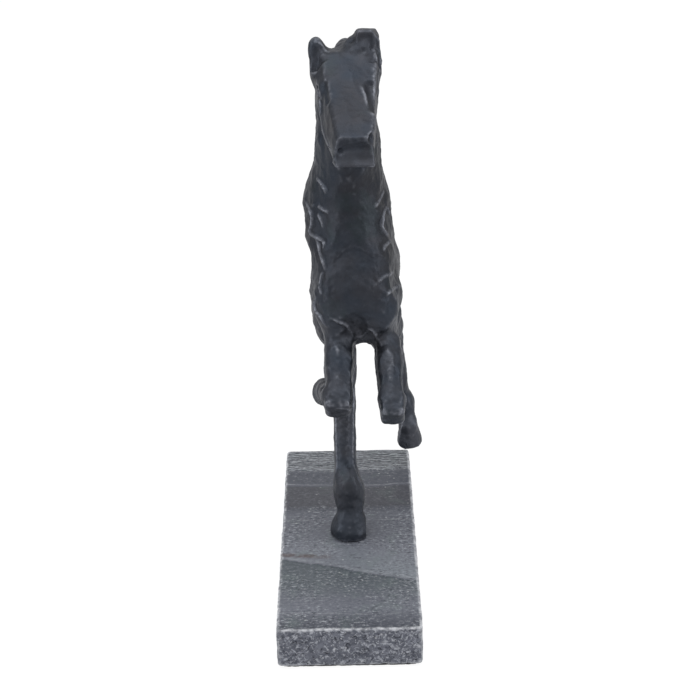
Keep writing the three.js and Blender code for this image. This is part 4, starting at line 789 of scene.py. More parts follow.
light_and_shade_factor = np.ones(len(V1))
for c, r, f in (([-3, -95, 162], [9, 10, 9], 1.18), ([24.5, -95, 157], [9, 10, 9], 1.18), ([-4, -69, 196], [12, 14, 14], 1.30),
                ([21, -69, 195], [11, 14, 14], 1.40), ([9.5, -64, 186], [7, 10, 7], 1.45), ([38.5, 79, 48], [12, 14, 20], 1.55),
                ([33, 80, 95], [10, 18, 24], 1.20), ([20, -46, 285], [9, 30, 28], .76), ([28, -30, 222], [9, 50, 36], .68),
                ([-15, -30, 220], [8, 50, 36], .82), ([5, -76, 264], [14, 14, 18], .94), ([7, -80, 230], [12, 10, 24], 1.08), ([15, -57, 332], [7, 6, 9], 1.18),
                ([4, -85, 310], [12, 14, 12], .93), ([-1, 12, 70], [14, 30, 26], 1.12), ([1, 0, 30], [18, 20, 24], 1.28)):
    light_and_shade_factor *= 1 + (f - 1) * patch(c, r)
# painted light on the underside of the muzzle
light_and_shade_factor *= 1 + .30 * step01(-V1[:, 2], -297.0, -295.4) * patch([8, -105, 292], [13, 6, 8])
light_and_shade_factor = light_and_shade_factor ** 2.2
edge = edge * (1 - .8 * patch([7.5, -103.5, 295], [14, 8, 9])) * (1 - .8 * patch([13, -55, 335], [12, 9, 8]))
edge = edge * (1 - .88 * patch([7, -80, 232], [11, 16, 26])) * (1 - .7 * patch([1.5, -6, 60], [10, 12, 13]))
hollow = hollow * (1 - .75 * patch([1.5, -6, 60], [10, 12, 13]))
rub = np.clip((light_and_shade_factor - 1) * .125, 0, 1)
shade = np.clip(1 - light_and_shade_factor, 0, 1)

# ================================================================== meshes
UP = np.array([0, 0, FELT_T])


def to_mesh(name, verts, faces, mm=True):
    me = bpy.data.meshes.new(name)
    v = (verts + UP) * MM if mm else verts
    me.vertices.add(len(v))
    me.vertices.foreach_set('co', v.astype(np.float32).ravel())
    k = faces.shape[1]
    me.loops.add(len(faces) * k)
    me.loops.foreach_set('vertex_index', faces.astype(np.int32).ravel())
    me.polygons.add(len(faces))
    me.polygons.foreach_set('loop_start', np.arange(0, len(faces) * k, k, dtype=np.int32))
    me.update(calc_edges=True)
    return me


def obj_of(name, me):
    ob = bpy.data.objects.new(name, me)
    bpy.context.scene.collection.objects.link(ob)
    return ob


def mesh_arrays(me):
    v = np.zeros(len(me.vertices) * 3, np.float32)
    me.vertices.foreach_get('co', v)
    me.calc_loop_triangles()
    t = np.zeros(len(me.loop_triangles) * 3, np.int32)
    me.loop_triangles.foreach_get('vertices', t)
    return v.reshape(-1, 3).astype(float), t.reshape(-1, 3)


def boolean(me, other, op):
    """me with other joined, cut away or kept in common; both closed"""
    a, b = obj_of('tmp_a', me), obj_of('tmp_b', other)
    mod = a.modifiers.new('b', 'BOOLEAN')
    mod.operation = op
    mod.solver = 'MANIFOLD'
    mod.object = b
    bpy.context.view_layer.update()
    dg = bpy.context.evaluated_depsgraph_get()
    out = bpy.data.meshes.new_from_object(a.evaluated_get(dg))
    bpy.data.objects.remove(a)
    bpy.data.objects.remove(b)
    return out


def largest(me):
    v, t = mesh_arrays(me)
    if not len(t):
        return me
    lab = np.arange(len(v))
    e = pairs(t)
    while True:
        m = np.minimum(lab[e[:, 0]], lab[e[:, 1]])
        new = lab.copy()
        np.minimum.at(new, e[:, 0], m)
        np.minimum.at(new, e[:, 1], m)
        new = new[new]
        if (new == lab).all():
            break
        lab = new
    fl = lab[t[:, 0]]
    ids, cnt = np.unique(fl, return_counts=True)
    if len(ids) == 1:
        return me
    keep = t[fl == ids[np.argmax(cnt)]]
    used, inv = np.unique(keep, return_inverse=True)
    return to_mesh('part', v[used], inv.reshape(-1, 3), mm=False)


def box_mesh(p, deg, x0, x1, v0, v1, l0, l1):
    """a box: absolute x, then v and l along the axes of a plane through p pitched about X"""
    t = math.radians(deg)
    ca, sa = math.cos(t), math.sin(t)
    c = []
    for x in (x0, x1):
        for v in (v0, v1):
            for l in (l0, l1):
                c.append([x, p[1] + v * ca - l * sa, p[2] + v * sa + l * ca])
    f = np.array([[0, 1, 3, 2], [4, 6, 7, 5], [0, 4, 5, 1], [2, 3, 7, 6], [0, 2, 6, 4], [1, 5, 7, 3]])
    return to_mesh('box', np.array(c, float), f)


def slab(x0, x1, y0, y1, z0, z1):
    return box_mesh([0, 0, 0], 0, x0, x1, y0, y1, z0, z1)


def lathe(a, b, profile, sides, sx=1.0, sy=1.0):
    """a turned body about the line from a to b: profile is (radius, distance from a); closed at both ends"""
    a, b = np.array(a, float), np.array(b, float)
    z = (b - a) / np.linalg.norm(b - a)
    x = np.cross([0, 1, 0], z) if abs(z[1]) < .9 else np.cross(z, [1, 0, 0])
    x /= np.linalg.norm(x)
    y = np.cross(z, x)
    vs, fs = [], []
    for r, l in profile:
        for i in range(sides):
            t = 2 * math.pi * i / sides
            vs.append(a + z * l + x * r * sx * math.cos(t) + y * r * sy * math.sin(t))
    n = len(profile)
    for k in range(n - 1):
        for i in range(sides):
            j = (i + 1) % sides
            fs.append([k * sides + i, k * sides + j, (k + 1) * sides + j])
            fs.append([k * sides + i, (k + 1) * sides + j, (k + 1) * sides + i])
    for ring, flip in ((0, True), (n - 1, False)):
        c = len(vs)
        vs.append(a + z * profile[ring][1])
        for i in range(sides):
            j = (i + 1) % sides
            f = [c, ring * sides + i, ring * sides + j]
            fs.append(f[::-1] if flip else f)
    return to_mesh('bar', np.array(vs), np.array(fs))


def bar(a, b, r, sides=32):
    L = float(np.linalg.norm(np.array(b, float) - np.array(a, float)))
    return lathe(a, b, [(r, 0), (r, L)], sides)


def ball(c, r, deg, n=28, m=18):
    t = math.radians(deg)
    ca, sa = math.cos(t), math.sin(t)
    vs, fs = [], []
    for j in range(1, m):
        th = math.pi * j / m
        for i in range(n):
            ph = 2 * math.pi * i / n
            vs.append([r[0] * math.sin(th) * math.cos(ph), r[1] * math.sin(th) * math.sin(ph), r[2] * math.cos(th)])
    top, bot = len(vs), len(vs) + 1
    vs += [[0, 0, r[2]], [0, 0, -r[2]]]
    for j in range(m - 2):
        for i in range(n):
            k = (i + 1) % n
            fs += [[j * n + i, (j + 1) * n + i, (j + 1) * n + k], [j * n + i, (j + 1) * n + k, j * n + k]]
    for i in range(n):
        k = (i + 1) % n
        fs += [[top, i, k], [bot, (m - 2) * n + k, (m - 2) * n + i]]
    v = np.array(vs)
    w = v.copy()
    w[:, 1] = v[:, 1] * ca - v[:, 2] * sa
    w[:, 2] = v[:, 1] * sa + v[:, 2] * ca
    return to_mesh('ball', w + np.array(c, float), np.array(fs))


def oval(p, deg, ra, rb, l0, l1, sides=64):
    t = math.radians(deg)
    ca, sa = math.cos(t), math.sin(t)
    vs, fs = [], []
    for l in (l0, l1):
        for i in range(sides):
            q = 2 * math.pi * i / sides
            x, v = ra * math.cos(q), rb * math.sin(q)
            vs.append([p[0] + x, p[1] + v * ca - l * sa, p[2] + v * sa + l * ca])
    for i in range(sides):
        j = (i + 1) % sides
        fs += [[i, j, sides + j], [i, sides + j, sides + i]]
    c0 = len(vs)
    vs.append([p[0], p[1] - l0 * sa, p[2] + l0 * ca])
    vs.append([p[0], p[1] - l1 * sa, p[2] + l1 * ca])
    for i in range(sides):
        j = (i + 1) % sides
        fs += [[c0, j, i], [c0 + 1, sides + i, sides + j]]
    return to_mesh('oval', np.array(vs, float), np.array(fs))


NECK = ([5, -36, 262], 14.5)
FORE_DEG, FORE_R, FORE_L = 121.5, [-3, -69, 180.5], [22.8, -69, 177.0]
HIND_Z = 137.0
TAIL = ([7.4, 90, 195], -59.8)
MID_X = 10.5
GAP = .3
regions = {
    'head': lambda: [box_mesh(NECK[0], NECK[1], -40, 60, -75, 75, 0, 110)],
    'foreR': lambda: [box_mesh(FORE_R, FORE_DEG, -30, MID_X, -45, 40, 0, 60), slab(-30, MID_X, -80, -22, 118, 160)],
    'foreL': lambda: [box_mesh(FORE_L, FORE_DEG, MID_X, 50, -45, 40, 0, 60), slab(MID_X, 50, -80, -22, 112, 156)],
    'hindR': lambda: [slab(-30, MID_X, -20, 66, 20, HIND_Z)],
    'hindL': lambda: [slab(MID_X, 60, 0, 108, 20, HIND_Z)],
    'tail': lambda: [box_mesh(TAIL[0], TAIL[1], -20, 40, -50, 110, 0, 110)],
}


def region(name):
    m = regions[name]()
    return m[0] if len(m) == 1 else boolean(m[0], m[1], 'UNION')


def direction(deg):
    t = math.radians(deg)
    return np.array([0, -math.sin(t), math.cos(t)])


def unit(v):
    v = np.array(v, float)
    return v / np.linalg.norm(v)


spigots = {
    'foreR': (np.array(FORE_R, float), direction(FORE_DEG)), 'foreL': (np.array(FORE_L, float), direction(FORE_DEG)),
    'hindR': (np.array([-3.0, 21.5, HIND_Z]), unit([.13, .35, -1])), 'hindL': (np.array([27.2, 46.5, HIND_Z]), unit([.16, .85, -1])),
    'tail': (np.array(TAIL[0], float), direction(TAIL[1])),
}
whole = to_mesh('whole', V1, T)
ec = np.bincount(np.unique(np.sort(np.concatenate([T[:, [0, 1]], T[:, [1, 2]], T[:, [2, 0]]]), 1), axis=0, return_inverse=True)[1].ravel())
say('edges not shared by two faces:', int((ec != 2).sum()))

castings = {}
for name in ('head', 'foreR', 'foreL', 'hindR', 'hindL', 'tail'):
    part = largest(boolean(whole.copy(), region(name), 'INTERSECT'))
    if name == 'hindR':
        part = boolean(part, slab(-60, 90, -60, 120, 25.0, 300), 'INTERSECT')
    if name == 'head':
        part = boolean(part, oval(NECK[0], NECK[1], 11.5, 19, -8, 8), 'UNION')
        part = boolean(part, oval(NECK[0], NECK[1], 11.5 - 2.6, 19 - 2.6, -9, 12), 'DIFFERENCE')
        part = boolean(part, ball([4.4, -42, 281], [8.6, 14.5, 25], 8), 'DIFFERENCE')
    else:
        p, d = spigots[name]
        part = boolean(part, bar(p - d * 8, p + d * 6, 3.3), 'UNION')
    if name == 'hindR':
        part = boolean(part, bar([1, -1.5, 23], [1, -1.5, 38.8], 3.05), 'DIFFERENCE')
        part = boolean(part, bar([1, 5, 23], [1, 5, 33.5], 1.8), 'DIFFERENCE')
    castings[name] = part
body = whole.copy()
cutter = region('head')
for name in ('foreR', 'foreL', 'hindR', 'hindL', 'tail'):
    cutter = boolean(cutter, region(name), 'UNION')
body = largest(boolean(body, cutter, 'DIFFERENCE'))
body = boolean(body, ball([6.5, 8, 194], [13.4, 62, 25], -A), 'DIFFERENCE')
body = boolean(body, ball([6.4, -36, 232], [12, 22, 27], 10), 'DIFFERENCE')
body = boolean(body, oval(NECK[0], NECK[1], 11.5 + GAP, 19 + GAP, -8 - GAP, 5), 'DIFFERENCE')
for name, (p, d) in spigots.items():
    body = boolean(body, bar(p - d * (8 + GAP), p + d * 4, 3.3 + GAP), 'DIFFERENCE')
castings['body'] = largest(body)
say('castings', {k: len(m.polygons) for k, m in castings.items()})

# values of the sculpted skin, carried over to the castings by place
kd = KDTree(len(V1))
SK = (V1 + UP) * MM
for i in range(len(SK)):
    kd.insert(SK[i], i)
kd.balance()
LABEL = {'body': ('bronze_body', 'body_casting', 'bronze_body'), 'head': ('bronze_head_and_neck', 'head_and_neck', 'bronze_head'),
         'foreR': ('bronze_foreleg_right', 'foreleg_right', 'bronze_legs'), 'foreL': ('bronze_foreleg_left', 'foreleg_left', 'bronze_legs'),
         'hindR': ('bronze_hindleg_right', 'hindleg_right', 'bronze_legs'), 'hindL': ('bronze_hindleg_left', 'hindleg_left', 'bronze_legs'),
         'tail': ('bronze_tail', 'tail', 'bronze_tail')}
bronze_objects = []
for key, me in castings.items():
    piece, node, slot_name = LABEL[key]
    me.name = piece
    v, _ = mesh_arrays(me)
    n = len(v)
    at = {'edge': np.zeros(n), 'hollow': np.zeros(n), 'hair': np.zeros(n), 'rub': np.zeros(n), 'shade': np.zeros(n), 'raw': np.zeros(n)}
    nor = np.zeros((n, 3))
    for i in range(n):
        co, j, dist = kd.find(v[i])
        if dist < .0005 * (FINE / .66) * 1.3:
            at['edge'][i], at['hollow'][i], at['hair'][i] = edge[j], hollow[j], w_hair[j]
            at['rub'][i], at['shade'][i] = rub[j], shade[j]
            nor[i] = N1[j]
        else:
            at['raw'][i] = 1
    for k, val in at.items():
        me.attributes.new(k, 'FLOAT', 'POINT').data.foreach_set('value', val.astype(np.float32))
    me.polygons.foreach_set('use_smooth', np.ones(len(me.polygons), bool))
    vn = np.zeros(n * 3, np.float32)
    me.vertices.foreach_get('normal', vn)
    vn = vn.reshape(-1, 3)
    flat = np.linalg.norm(nor, axis=1) < .5
    nor[flat] = vn[flat]
    me.normals_split_custom_set_from_vertices(nor.astype(np.float32))
    ob = obj_of(piece, me)
    bronze_objects.append((ob, node, slot_name))
say('castings placed')


# ================================================================== materials
class Tree:
    def __init__(self, name):
        self.m = bpy.data.materials.new(name)
        self.m.use_nodes = True
        self.t = self.m.node_tree
        self.t.nodes.clear()
        self.out = self.t.nodes.new('ShaderNodeOutputMaterial')

    def node(self, kind, inputs=None, **props):
        n = self.t.nodes.new(kind)
        for k, v in props.items():
            setattr(n, k, v)
        for k, v in (inputs or {}).items():
            self.set(n, k, v)
        return n

    def set(self, n, k, v):
        s = n.inputs[k]
        if isinstance(v, bpy.types.NodeSocket):
            self.t.links.new(v, s)
        elif isinstance(v, bpy.types.Node):
            self.t.links.new(v.outputs[0], s)
        else:
            if isinstance(v, (tuple, list)) and len(v) == 3 and s.type == 'RGBA':
                v = (*v, 1)
            s.default_value = v

    def coords(self):
        return self.node('ShaderNodeTexCoord').outputs['Object']

    def attr(self, name):
        return self.node('ShaderNodeAttribute', attribute_name=name).outputs['Fac']

    def mapped(self, vec, scale=(1, 1, 1), loc=(0, 0, 0), rot=(0, 0, 0)):
        return self.node('ShaderNodeMapping', {'Vector': vec, 'Scale': scale, 'Location': loc, 'Rotation': rot}).outputs[0]

    def noise(self, vec, scale, detail=2.0, rough=.5, distortion=0.0, out='Fac'):
        return self.node('ShaderNodeTexNoise', {'Vector': vec, 'Scale': scale, 'Detail': detail, 'Roughness': rough, 'Distortion': distortion}).outputs[out]

    def voronoi(self, vec, scale, feature='F1', out='Distance', rand=1.0):
        return self.node('ShaderNodeTexVoronoi', {'Vector': vec, 'Scale': scale, 'Randomness': rand}, feature=feature).outputs[out]

    def math(self, op, a, b=0.0, c=0.0, clamp=False):
        n = self.node('ShaderNodeMath', operation=op, use_clamp=clamp)
        self.set(n, 0, a)
        self.set(n, 1, b)
        if op in ('MULTIPLY_ADD', 'SMOOTH_MIN', 'SMOOTH_MAX', 'COMPARE', 'WRAP'):
            self.set(n, 2, c)
        return n.outputs[0]

    def remap(self, v, a, b, c=0.0, d=1.0, smooth=True):
        n = self.node('ShaderNodeMapRange', {'Value': v, 'From Min': a, 'From Max': b, 'To Min': c, 'To Max': d}, interpolation_type='SMOOTHSTEP' if smooth else 'LINEAR', clamp=True)
        return n.outputs[0]

    def mix(self, f, a, b, blend='MIX'):
        n = self.node('ShaderNodeMix', data_type='RGBA', blend_type=blend)
        for k, v in ((0, f), (6, a), (7, b)):
            s = n.inputs[k]
            if isinstance(v, bpy.types.NodeSocket):
                self.t.links.new(v, s)
            else:
                s.default_value = (*v, 1) if isinstance(v, (tuple, list)) and len(v) == 3 else v
        return n.outputs[2]

    def ramp(self, f, stops, interp='LINEAR'):
        n = self.node('ShaderNodeValToRGB', {'Fac': f})
        r = n.color_ramp
        r.interpolation = interp
        while len(r.elements) > 1:
            r.elements.remove(r.elements[-1])
        r.elements[0].position = stops[0][0]
        r.elements[0].color = (*stops[0][1], 1)
        for p, c in stops[1:]:
            e = r.elements.new(p)
            e.color = (*c, 1)
        return n.outputs[0]

    def bump(self, h, strength, dist, normal=None):
        n = self.node('ShaderNodeBump', {'Height': h, 'Strength': strength, 'Distance': dist})
        if normal is not None:
            self.set(n, 'Normal', normal)
        return n.outputs[0]

    def surface(self, **inputs):
        b = self.node('ShaderNodeBsdfPrincipled')
        for k, v in inputs.items():
            self.set(b, k.replace('_', ' '), v)
        self.t.links.new(b.outputs[0], self.out.inputs['Surface'])
        return self.m


def lin(*rgb):
    out = []
    for c in rgb:
        c = c / 255.0
        out.append(c / 12.92 if c <= .04045 else ((c + .055) / 1.055) ** 2.4)
    return tuple(out)


def bronze_material(name, seed):
    t = Tree(name)
    p = t.mapped(t.coords(), loc=(seed, seed * .7, seed * 1.3))
    big = t.noise(p, 38, 4, .55)
    mid = t.noise(p, 190, 4, .6)
    fine = t.noise(p, 1500, 3, .6)
    streak = t.noise(t.mapped(p, scale=(1, 1, .25)), 260, 3, .6)
    col = t.mix(t.remap(big, .36, .64), lin(46, 52, 61), lin(55, 56, 61))
    col = t.mix(t.remap(t.noise(p, 55, 3, .5), .56, .70, 0, .6), col, lin(48, 57, 60))
    col = t.mix(t.remap(mid, .35, .7, 0, .45), col, lin(64, 68, 76))
    # hollow darkens the colour as painted shade; edge lightens it, partly wear and partly painted highlight
    hollow = t.attr('hollow')
    edge = t.attr('edge')
    wear_and_highlight = t.math('MULTIPLY', edge, t.remap(t.noise(p, 420, 3, .6), .30, .62, .45, 1.0), clamp=True)
    wear_and_highlight = t.math('POWER', wear_and_highlight, 1.25)
    # painted light and painted shade: base colour lightened and darkened by the baked patches
    col = t.mix(t.attr('rub'), col, lin(150, 153, 162))
    col = t.mix(t.attr('shade'), col, lin(0, 0, 0))
    col = t.mix(t.math('MULTIPLY', hollow, .38), col, lin(24, 27, 33))
    col = t.mix(wear_and_highlight, col, lin(150, 153, 162))
    col = t.mix(t.remap(fine, .62, .78, 0, .25), col, lin(96, 98, 104))
    col = t.mix(t.attr('raw'), col, lin(120, 96, 62))
    rough = t.math('ADD', t.remap(mid, .3, .7, .36, .50), t.math('MULTIPLY', wear_and_highlight, -.08))
    h = t.math('ADD', t.math('MULTIPLY', fine, .35), t.math('MULTIPLY', streak, .65))
    nrm = t.bump(h, .35, .00035)
    nrm = t.bump(t.voronoi(p, 900), .10, .00025, nrm)
    return t.surface(Base_Color=col, Metallic=.88, Roughness=rough, Normal=nrm, Specular_IOR_Level=.5)


mats = {'bronze_body': bronze_material('bronze_body_patina', 0.0), 'bronze_head': bronze_material('bronze_head_patina', .0),
        'bronze_legs': bronze_material('bronze_legs_patina', .0), 'bronze_tail': bronze_material('bronze_tail_patina', .0)}
for ob, node, slot_name in bronze_objects:
    ob.data.materials.clear()
    ob.data.materials.append(mats[slot_name])
    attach(ob, 'root')
    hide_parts(node)


# ================================================================== marble block
def marble_field(p):
    x, y, z = p[:, 0], p[:, 1], p[:, 2]
    n1 = vnoise(p, 6.0, 51)
    n2 = vnoise(p, 2.4, 52)
    n3 = vnoise(p, 1.3, 53)
    # honed top and bottom, sawn sides
    side = np.maximum(np.abs(x) - 40, np.abs(y) - 100)
    face = step01(side, -1.2, -.2) * step01(z, .8, 2.0) * (1 - step01(z, 23.6, 24.7))
    qx, qy, qz = np.abs(x) - 37.2, np.abs(y) - 97.2, np.abs(z - 12.5) - 11.9
    corner = np.hypot(np.maximum(qx, 0), np.maximum(qy, 0)) + np.minimum(np.maximum(qx, qy), 0) - 2.8
    w = np.stack([corner, qz], 1)
    d = np.sqrt((np.maximum(w + .5, 0) ** 2).sum(1)) + np.minimum((w + .5).max(1), 0) - .5 - 0.0
    d = np.maximum(d, np.maximum(corner, np.abs(z - 12.5) - 12.5))
    rough = .16 + .20 * n1 + .22 * n2 + .14 * n3
    pits = np.clip(.42 - np.sqrt(scoops(p, 3.4, 61, 1.0)[0]), 0, 1) * 1.6
    d = d + face * (rough + pits)
    # chips along the arrises
    rim = np.exp(-((np.minimum(np.abs(z), np.abs(z - 25)) / 1.1) ** 2)) * step01(side, -2.2, -.6)
    chip = np.clip(n1 * .9 + n2 * .8 - .15, 0, 1)
    crisp = step01(z, 18, 23) * step01(-y, 92, 97)      # the front arris on top is the cleanest
    d = d + rim * (.12 + chip * 1.0) * (1 - .72 * crisp)
    return d


mh = .78
MV, MQ = skin(marble_field, np.array([-42.0, -102.0, -2.0]) + .013, np.array([42.0, 102.0, 27.0]), mh)
MT = triangles(MV, MQ)
MV[:, 2] = np.clip(MV[:, 2], 0, 25)
marble_mesh = to_mesh('marble', MV, MT)
marble_mesh = boolean(marble_mesh, bar([1, -1.5, -3], [1, -1.5, 28], 3.5, 48), 'DIFFERENCE')
marble_mesh = boolean(marble_mesh, bar([1, -1.5, -3], [1, -1.5, 13], 11, 96), 'DIFFERENCE')
marble_mesh = boolean(marble_mesh, bar([1, 5, 16], [1, 5, 28], 1.8, 32), 'DIFFERENCE')
marble_mesh = largest(marble_mesh)
marble_mesh.name = 'marble_block'
mv, mt = mesh_arrays(marble_mesh)
me_edges = pairs(mt)
mn = normals(mv, mt)
sm = spread(mv, me_edges, len(mv), 4)
mb = ((mv - sm) * mn).sum(1) / (mh * MM)
zz = mv[:, 2] / MM - FELT_T
side_d = np.maximum(np.abs(mv[:, 0]) / MM - 40, np.abs(mv[:, 1]) / MM - 100)
# arris: convex edges near the sides, lightened in the marble colour, partly bruised chipped stone and partly painted
# highlight
arris = step01(mb, .06, .3) * step01(side_d, -3, -.9)
flank = step01(side_d, -1.6, -.4) * step01(1 - np.abs(mn[:, 2]), .1, .5)
# pit: concave spots on the flanks, darkened in the colour as painted shade
pit = step01(-mb, .02, .2) * flank
for k, val in (('arris', arris), ('flank', flank), ('pit', pit)):
    marble_mesh.attributes.new(k, 'FLOAT', 'POINT').data.foreach_set('value', val.astype(np.float32))
marble_mesh.polygons.foreach_set('use_smooth', np.ones(len(marble_mesh.polygons), bool))
marble_mesh.set_sharp_from_angle(angle=math.radians(42))
marble_block = obj_of('marble_block', marble_mesh)
say('marble', len(mv))


def marble_material():
    t = Tree('dark_vein_marble')
    co = t.coords()
    sep = t.node('ShaderNodeSeparateXYZ', {'Vector': co})
    x, y = sep.outputs[0], sep.outputs[1]
    warp = t.noise(t.mapped(co, scale=(1, .6, 1)), 22, 4, .55)
    warp2 = t.noise(t.mapped(co, scale=(.5, 1, 1), loc=(3, 1, 2)), 90, 3, .6)
    yw = t.math('ADD', y, t.math('MULTIPLY', t.math('SUBTRACT', warp, .5), .010))
    yw = t.math('ADD', yw, t.math('MULTIPLY', t.math('SUBTRACT', warp2, .5), .0022))
    f = t.remap(yw, -.100, .100, 0, 1, smooth=False)
    G = lambda v, b=12, g=3: lin(v - 1, v - 1 + g, v - 1 + b)
    pos = lambda mm: (mm + 100) / 200
    band = t.ramp(f, [
        (pos(-99), G(78)), (pos(-94), G(82)), (pos(-88), G(94)), (pos(-82), G(104)), (pos(-72), G(99)), (pos(-60), G(94)),
        (pos(-34), G(101)), (pos(-22), G(108)), (pos(-8), G(98)), (pos(10), G(94)), (pos(20), G(91)), (pos(25), G(74)),
        (pos(29), G(67, 8, 1)), (pos(52), G(68, 8, 1)), (pos(54.4), G(80)), (pos(55.2), G(106)), (pos(56.2), G(75)), (pos(70), G(73)),
        (pos(73.5), G(80)), (pos(76), G(120)), (pos(78.5), G(90)), (pos(90), G(95)), (pos(99), G(102))])
    # wavy streaks in the light bed at the back
    wav = t.node('ShaderNodeTexWave', {'Vector': t.mapped(co, scale=(.36, 1, 1), rot=(0, 0, .05)), 'Scale': 140, 'Distortion': 10.0, 'Detail': 3.0, 'Detail Scale': 1.4, 'Detail Roughness': .6},
                 wave_type='BANDS', bands_direction='Y').outputs['Fac']
    back = t.remap(yw, .070, .078, 0, 1)
    col = t.mix(t.math('MULTIPLY', back, t.remap(wav, .35, .80, 0, .95)), band, lin(62, 66, 70))
    col = t.mix(t.math('MULTIPLY', back, t.remap(wav, .32, .05, 0, .65)), col, lin(168, 172, 174))
    # diagonal bed at the front
    diag = t.math('ADD', t.math('MULTIPLY', x, .33), y)
    diag = t.math('ADD', diag, t.math('MULTIPLY', t.math('SUBTRACT', t.noise(co, 30, 4, .6), .5), .010))
    below = t.remap(diag, -.0408, -.0426, 0, 1)
    fore = t.ramp(t.remap(y, -.100, -.030, 0, 1, smooth=False), [(0, G(66)), (.06, G(73)), (.16, G(86)), (.26, G(101)), (.40, G(96)), (.62, G(84, 12, 6)), (1.0, G(72, 13, 7))])
    above_light = t.math('MULTIPLY', t.remap(diag, -.0435, -.036, 0, 1), t.remap(diag, -.008, -.034, 0, 1))
    col = t.mix(t.math('MULTIPLY', above_light, t.remap(x, -.030, .036, .2, .8)), col, lin(118, 124, 131))
    col = t.mix(below, col, fore)
    col = t.mix(t.remap(t.math('ABSOLUTE', t.math('ADD', diag, .0422)), .0011, .0003, 0, .55), col, lin(58, 64, 72))
    col = t.mix(t.math('MULTIPLY', t.remap(t.math('ABSOLUTE', t.math('ADD', diag, .0392)), .0022, .0004, 0, .55), t.remap(t.noise(co, 150, 3, .6), .40, .60)), col, lin(140, 144, 150))
    # brown streak on the left
    br = t.math('MULTIPLY', t.remap(t.math('ABSOLUTE', t.math('ADD', t.math('ADD', y, .0290), t.math('MULTIPLY', x, .10))), .0030, .0008, 0, 1), t.remap(x, -.006, -.020, 0, .75))
    col = t.mix(t.math('MULTIPLY', br, t.remap(t.noise(co, 180, 3, .6), .30, .55)), col, lin(76, 62, 60))
    # fine white threads
    thr = t.math('ADD', yw, t.math('MULTIPLY', t.math('SUBTRACT', t.noise(co, 60, 3, .5), .5), .0016))
    for at_y, wd, st in ((.0555, .00055, .5), (.0120, .0006, .55), (.0765, .0008, .5), (-.0850, .0009, .25), (.0165, .0004, .25)):
        ln = t.remap(t.math('ABSOLUTE', t.math('SUBTRACT', thr, at_y)), wd, wd * .25, 0, 1)
        col = t.mix(t.math('MULTIPLY', t.math('MULTIPLY', ln, st), t.remap(t.noise(t.mapped(co, scale=(1, .3, 1)), 130, 3, .7), .42, .6)), col, lin(158, 160, 164))
    # crystals: fine horizontal grain, light and dark flecks
    hg = t.noise(t.mapped(co, scale=(.62, 1, 1)), 700, 5, .72)
    calm = t.math('MULTIPLY', t.remap(yw, .026, .030, 0, 1), t.remap(yw, .074, .070, 0, 1))
    amt = t.math('MULTIPLY', t.remap(calm, 0, 1, 1.0, .40, smooth=False), t.remap(t.noise(t.mapped(co, loc=(7, 1, 4)), 48, 4, .6), .36, .62, .30, 1.0))
    col = t.mix(t.math('MULTIPLY', amt, t.remap(hg, .51, .68)), col, lin(154, 158, 163))
    col = t.mix(t.math('MULTIPLY', amt, t.remap(hg, .49, .33)), col, lin(44, 47, 54))
    spots = t.voronoi(t.mapped(co, scale=(.8, 1, 1)), 260)
    col = t.mix(t.math('MULTIPLY', t.remap(spots, .20, .06, 0, .7), t.remap(t.noise(co, 140, 2, .5), .48, .62)), col, lin(176, 178, 180))
    spots2 = t.voronoi(t.mapped(co, loc=(1, 2, 3)), 210)
    col = t.mix(t.math('MULTIPLY', t.remap(spots2, .22, .08, 0, .6), t.remap(t.noise(co, 120, 2, .5), .52, .64)), col, lin(52, 54, 60))
    col = t.mix(t.remap(t.noise(co, 70, 3, .6), .5, .75, 0, .22), col, lin(104, 120, 114))
    # sawn flanks: darker stone with bruised white crystals
    flank, arr, pit = t.attr('flank'), t.attr('arris'), t.attr('pit')
    fl = t.mix(t.remap(t.noise(co, 150, 4, .65), .35, .65), lin(82, 85, 95), lin(112, 115, 125))
    fl = t.mix(t.remap(t.noise(co, 420, 4, .7, 1.2), .50, .62, 0, .9), fl, lin(172, 175, 182))
    fl = t.mix(t.remap(t.noise(t.mapped(co, loc=(5, 5, 5)), 380, 4, .7, 1.0), .53, .64, 0, .9), fl, lin(46, 48, 56))
    fl = t.mix(t.remap(t.voronoi(co, 190), .16, .05, 0, .8), fl, lin(196, 198, 202))
    # painted shade in the pits of the sawn flanks
    fl = t.mix(t.math('MULTIPLY', pit, .6), fl, lin(52, 54, 60))
    col = t.mix(flank, col, fl)
    # arrises lighter: partly bruised chipped stone, partly painted highlight along the edge
    col = t.mix(t.math('MULTIPLY', arr, t.remap(t.noise(co, 300, 3, .6), .35, .6, .25, .85)), col, lin(200, 202, 206))
    rough = t.remap(t.noise(co, 300, 3, .6), .3, .7, .40, .56)
    rough = t.math('ADD', rough, t.math('MULTIPLY', flank, .30), clamp=True)
    b = t.bump(hg, .25, .00030)
    b = t.bump(t.noise(co, 260, 4, .7), t.math('MULTIPLY', flank, .9), .0009, b)
    return t.surface(Base_Color=col, Roughness=rough, Normal=b, Specular_IOR_Level=.42)


marble_mesh.materials.clear()
marble_mesh.materials.append(marble_material())
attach(marble_block, 'root')
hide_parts('marble_base')


# ================================================================== fixings under the block, and the felt
def steel_material(name, turned=True):
    t = Tree(name)
    co = t.coords()
    sc = (1, 1, 12) if turned else (1, 1, 1)
    n = t.noise(t.mapped(co, scale=sc), 700, 4, .6)
    spots = t.noise(co, 260, 3, .6)
    col = t.mix(t.remap(n, .35, .65), lin(172, 174, 178), lin(196, 198, 202))
    col = t.mix(t.remap(spots, .58, .72, 0, .5), col, lin(146, 142, 134))
    rough = t.remap(n, .3, .7, .24, .42)
    return t.surface(Base_Color=col, Metallic=1.0, Roughness=rough, Normal=t.bump(n, .2, .0002))


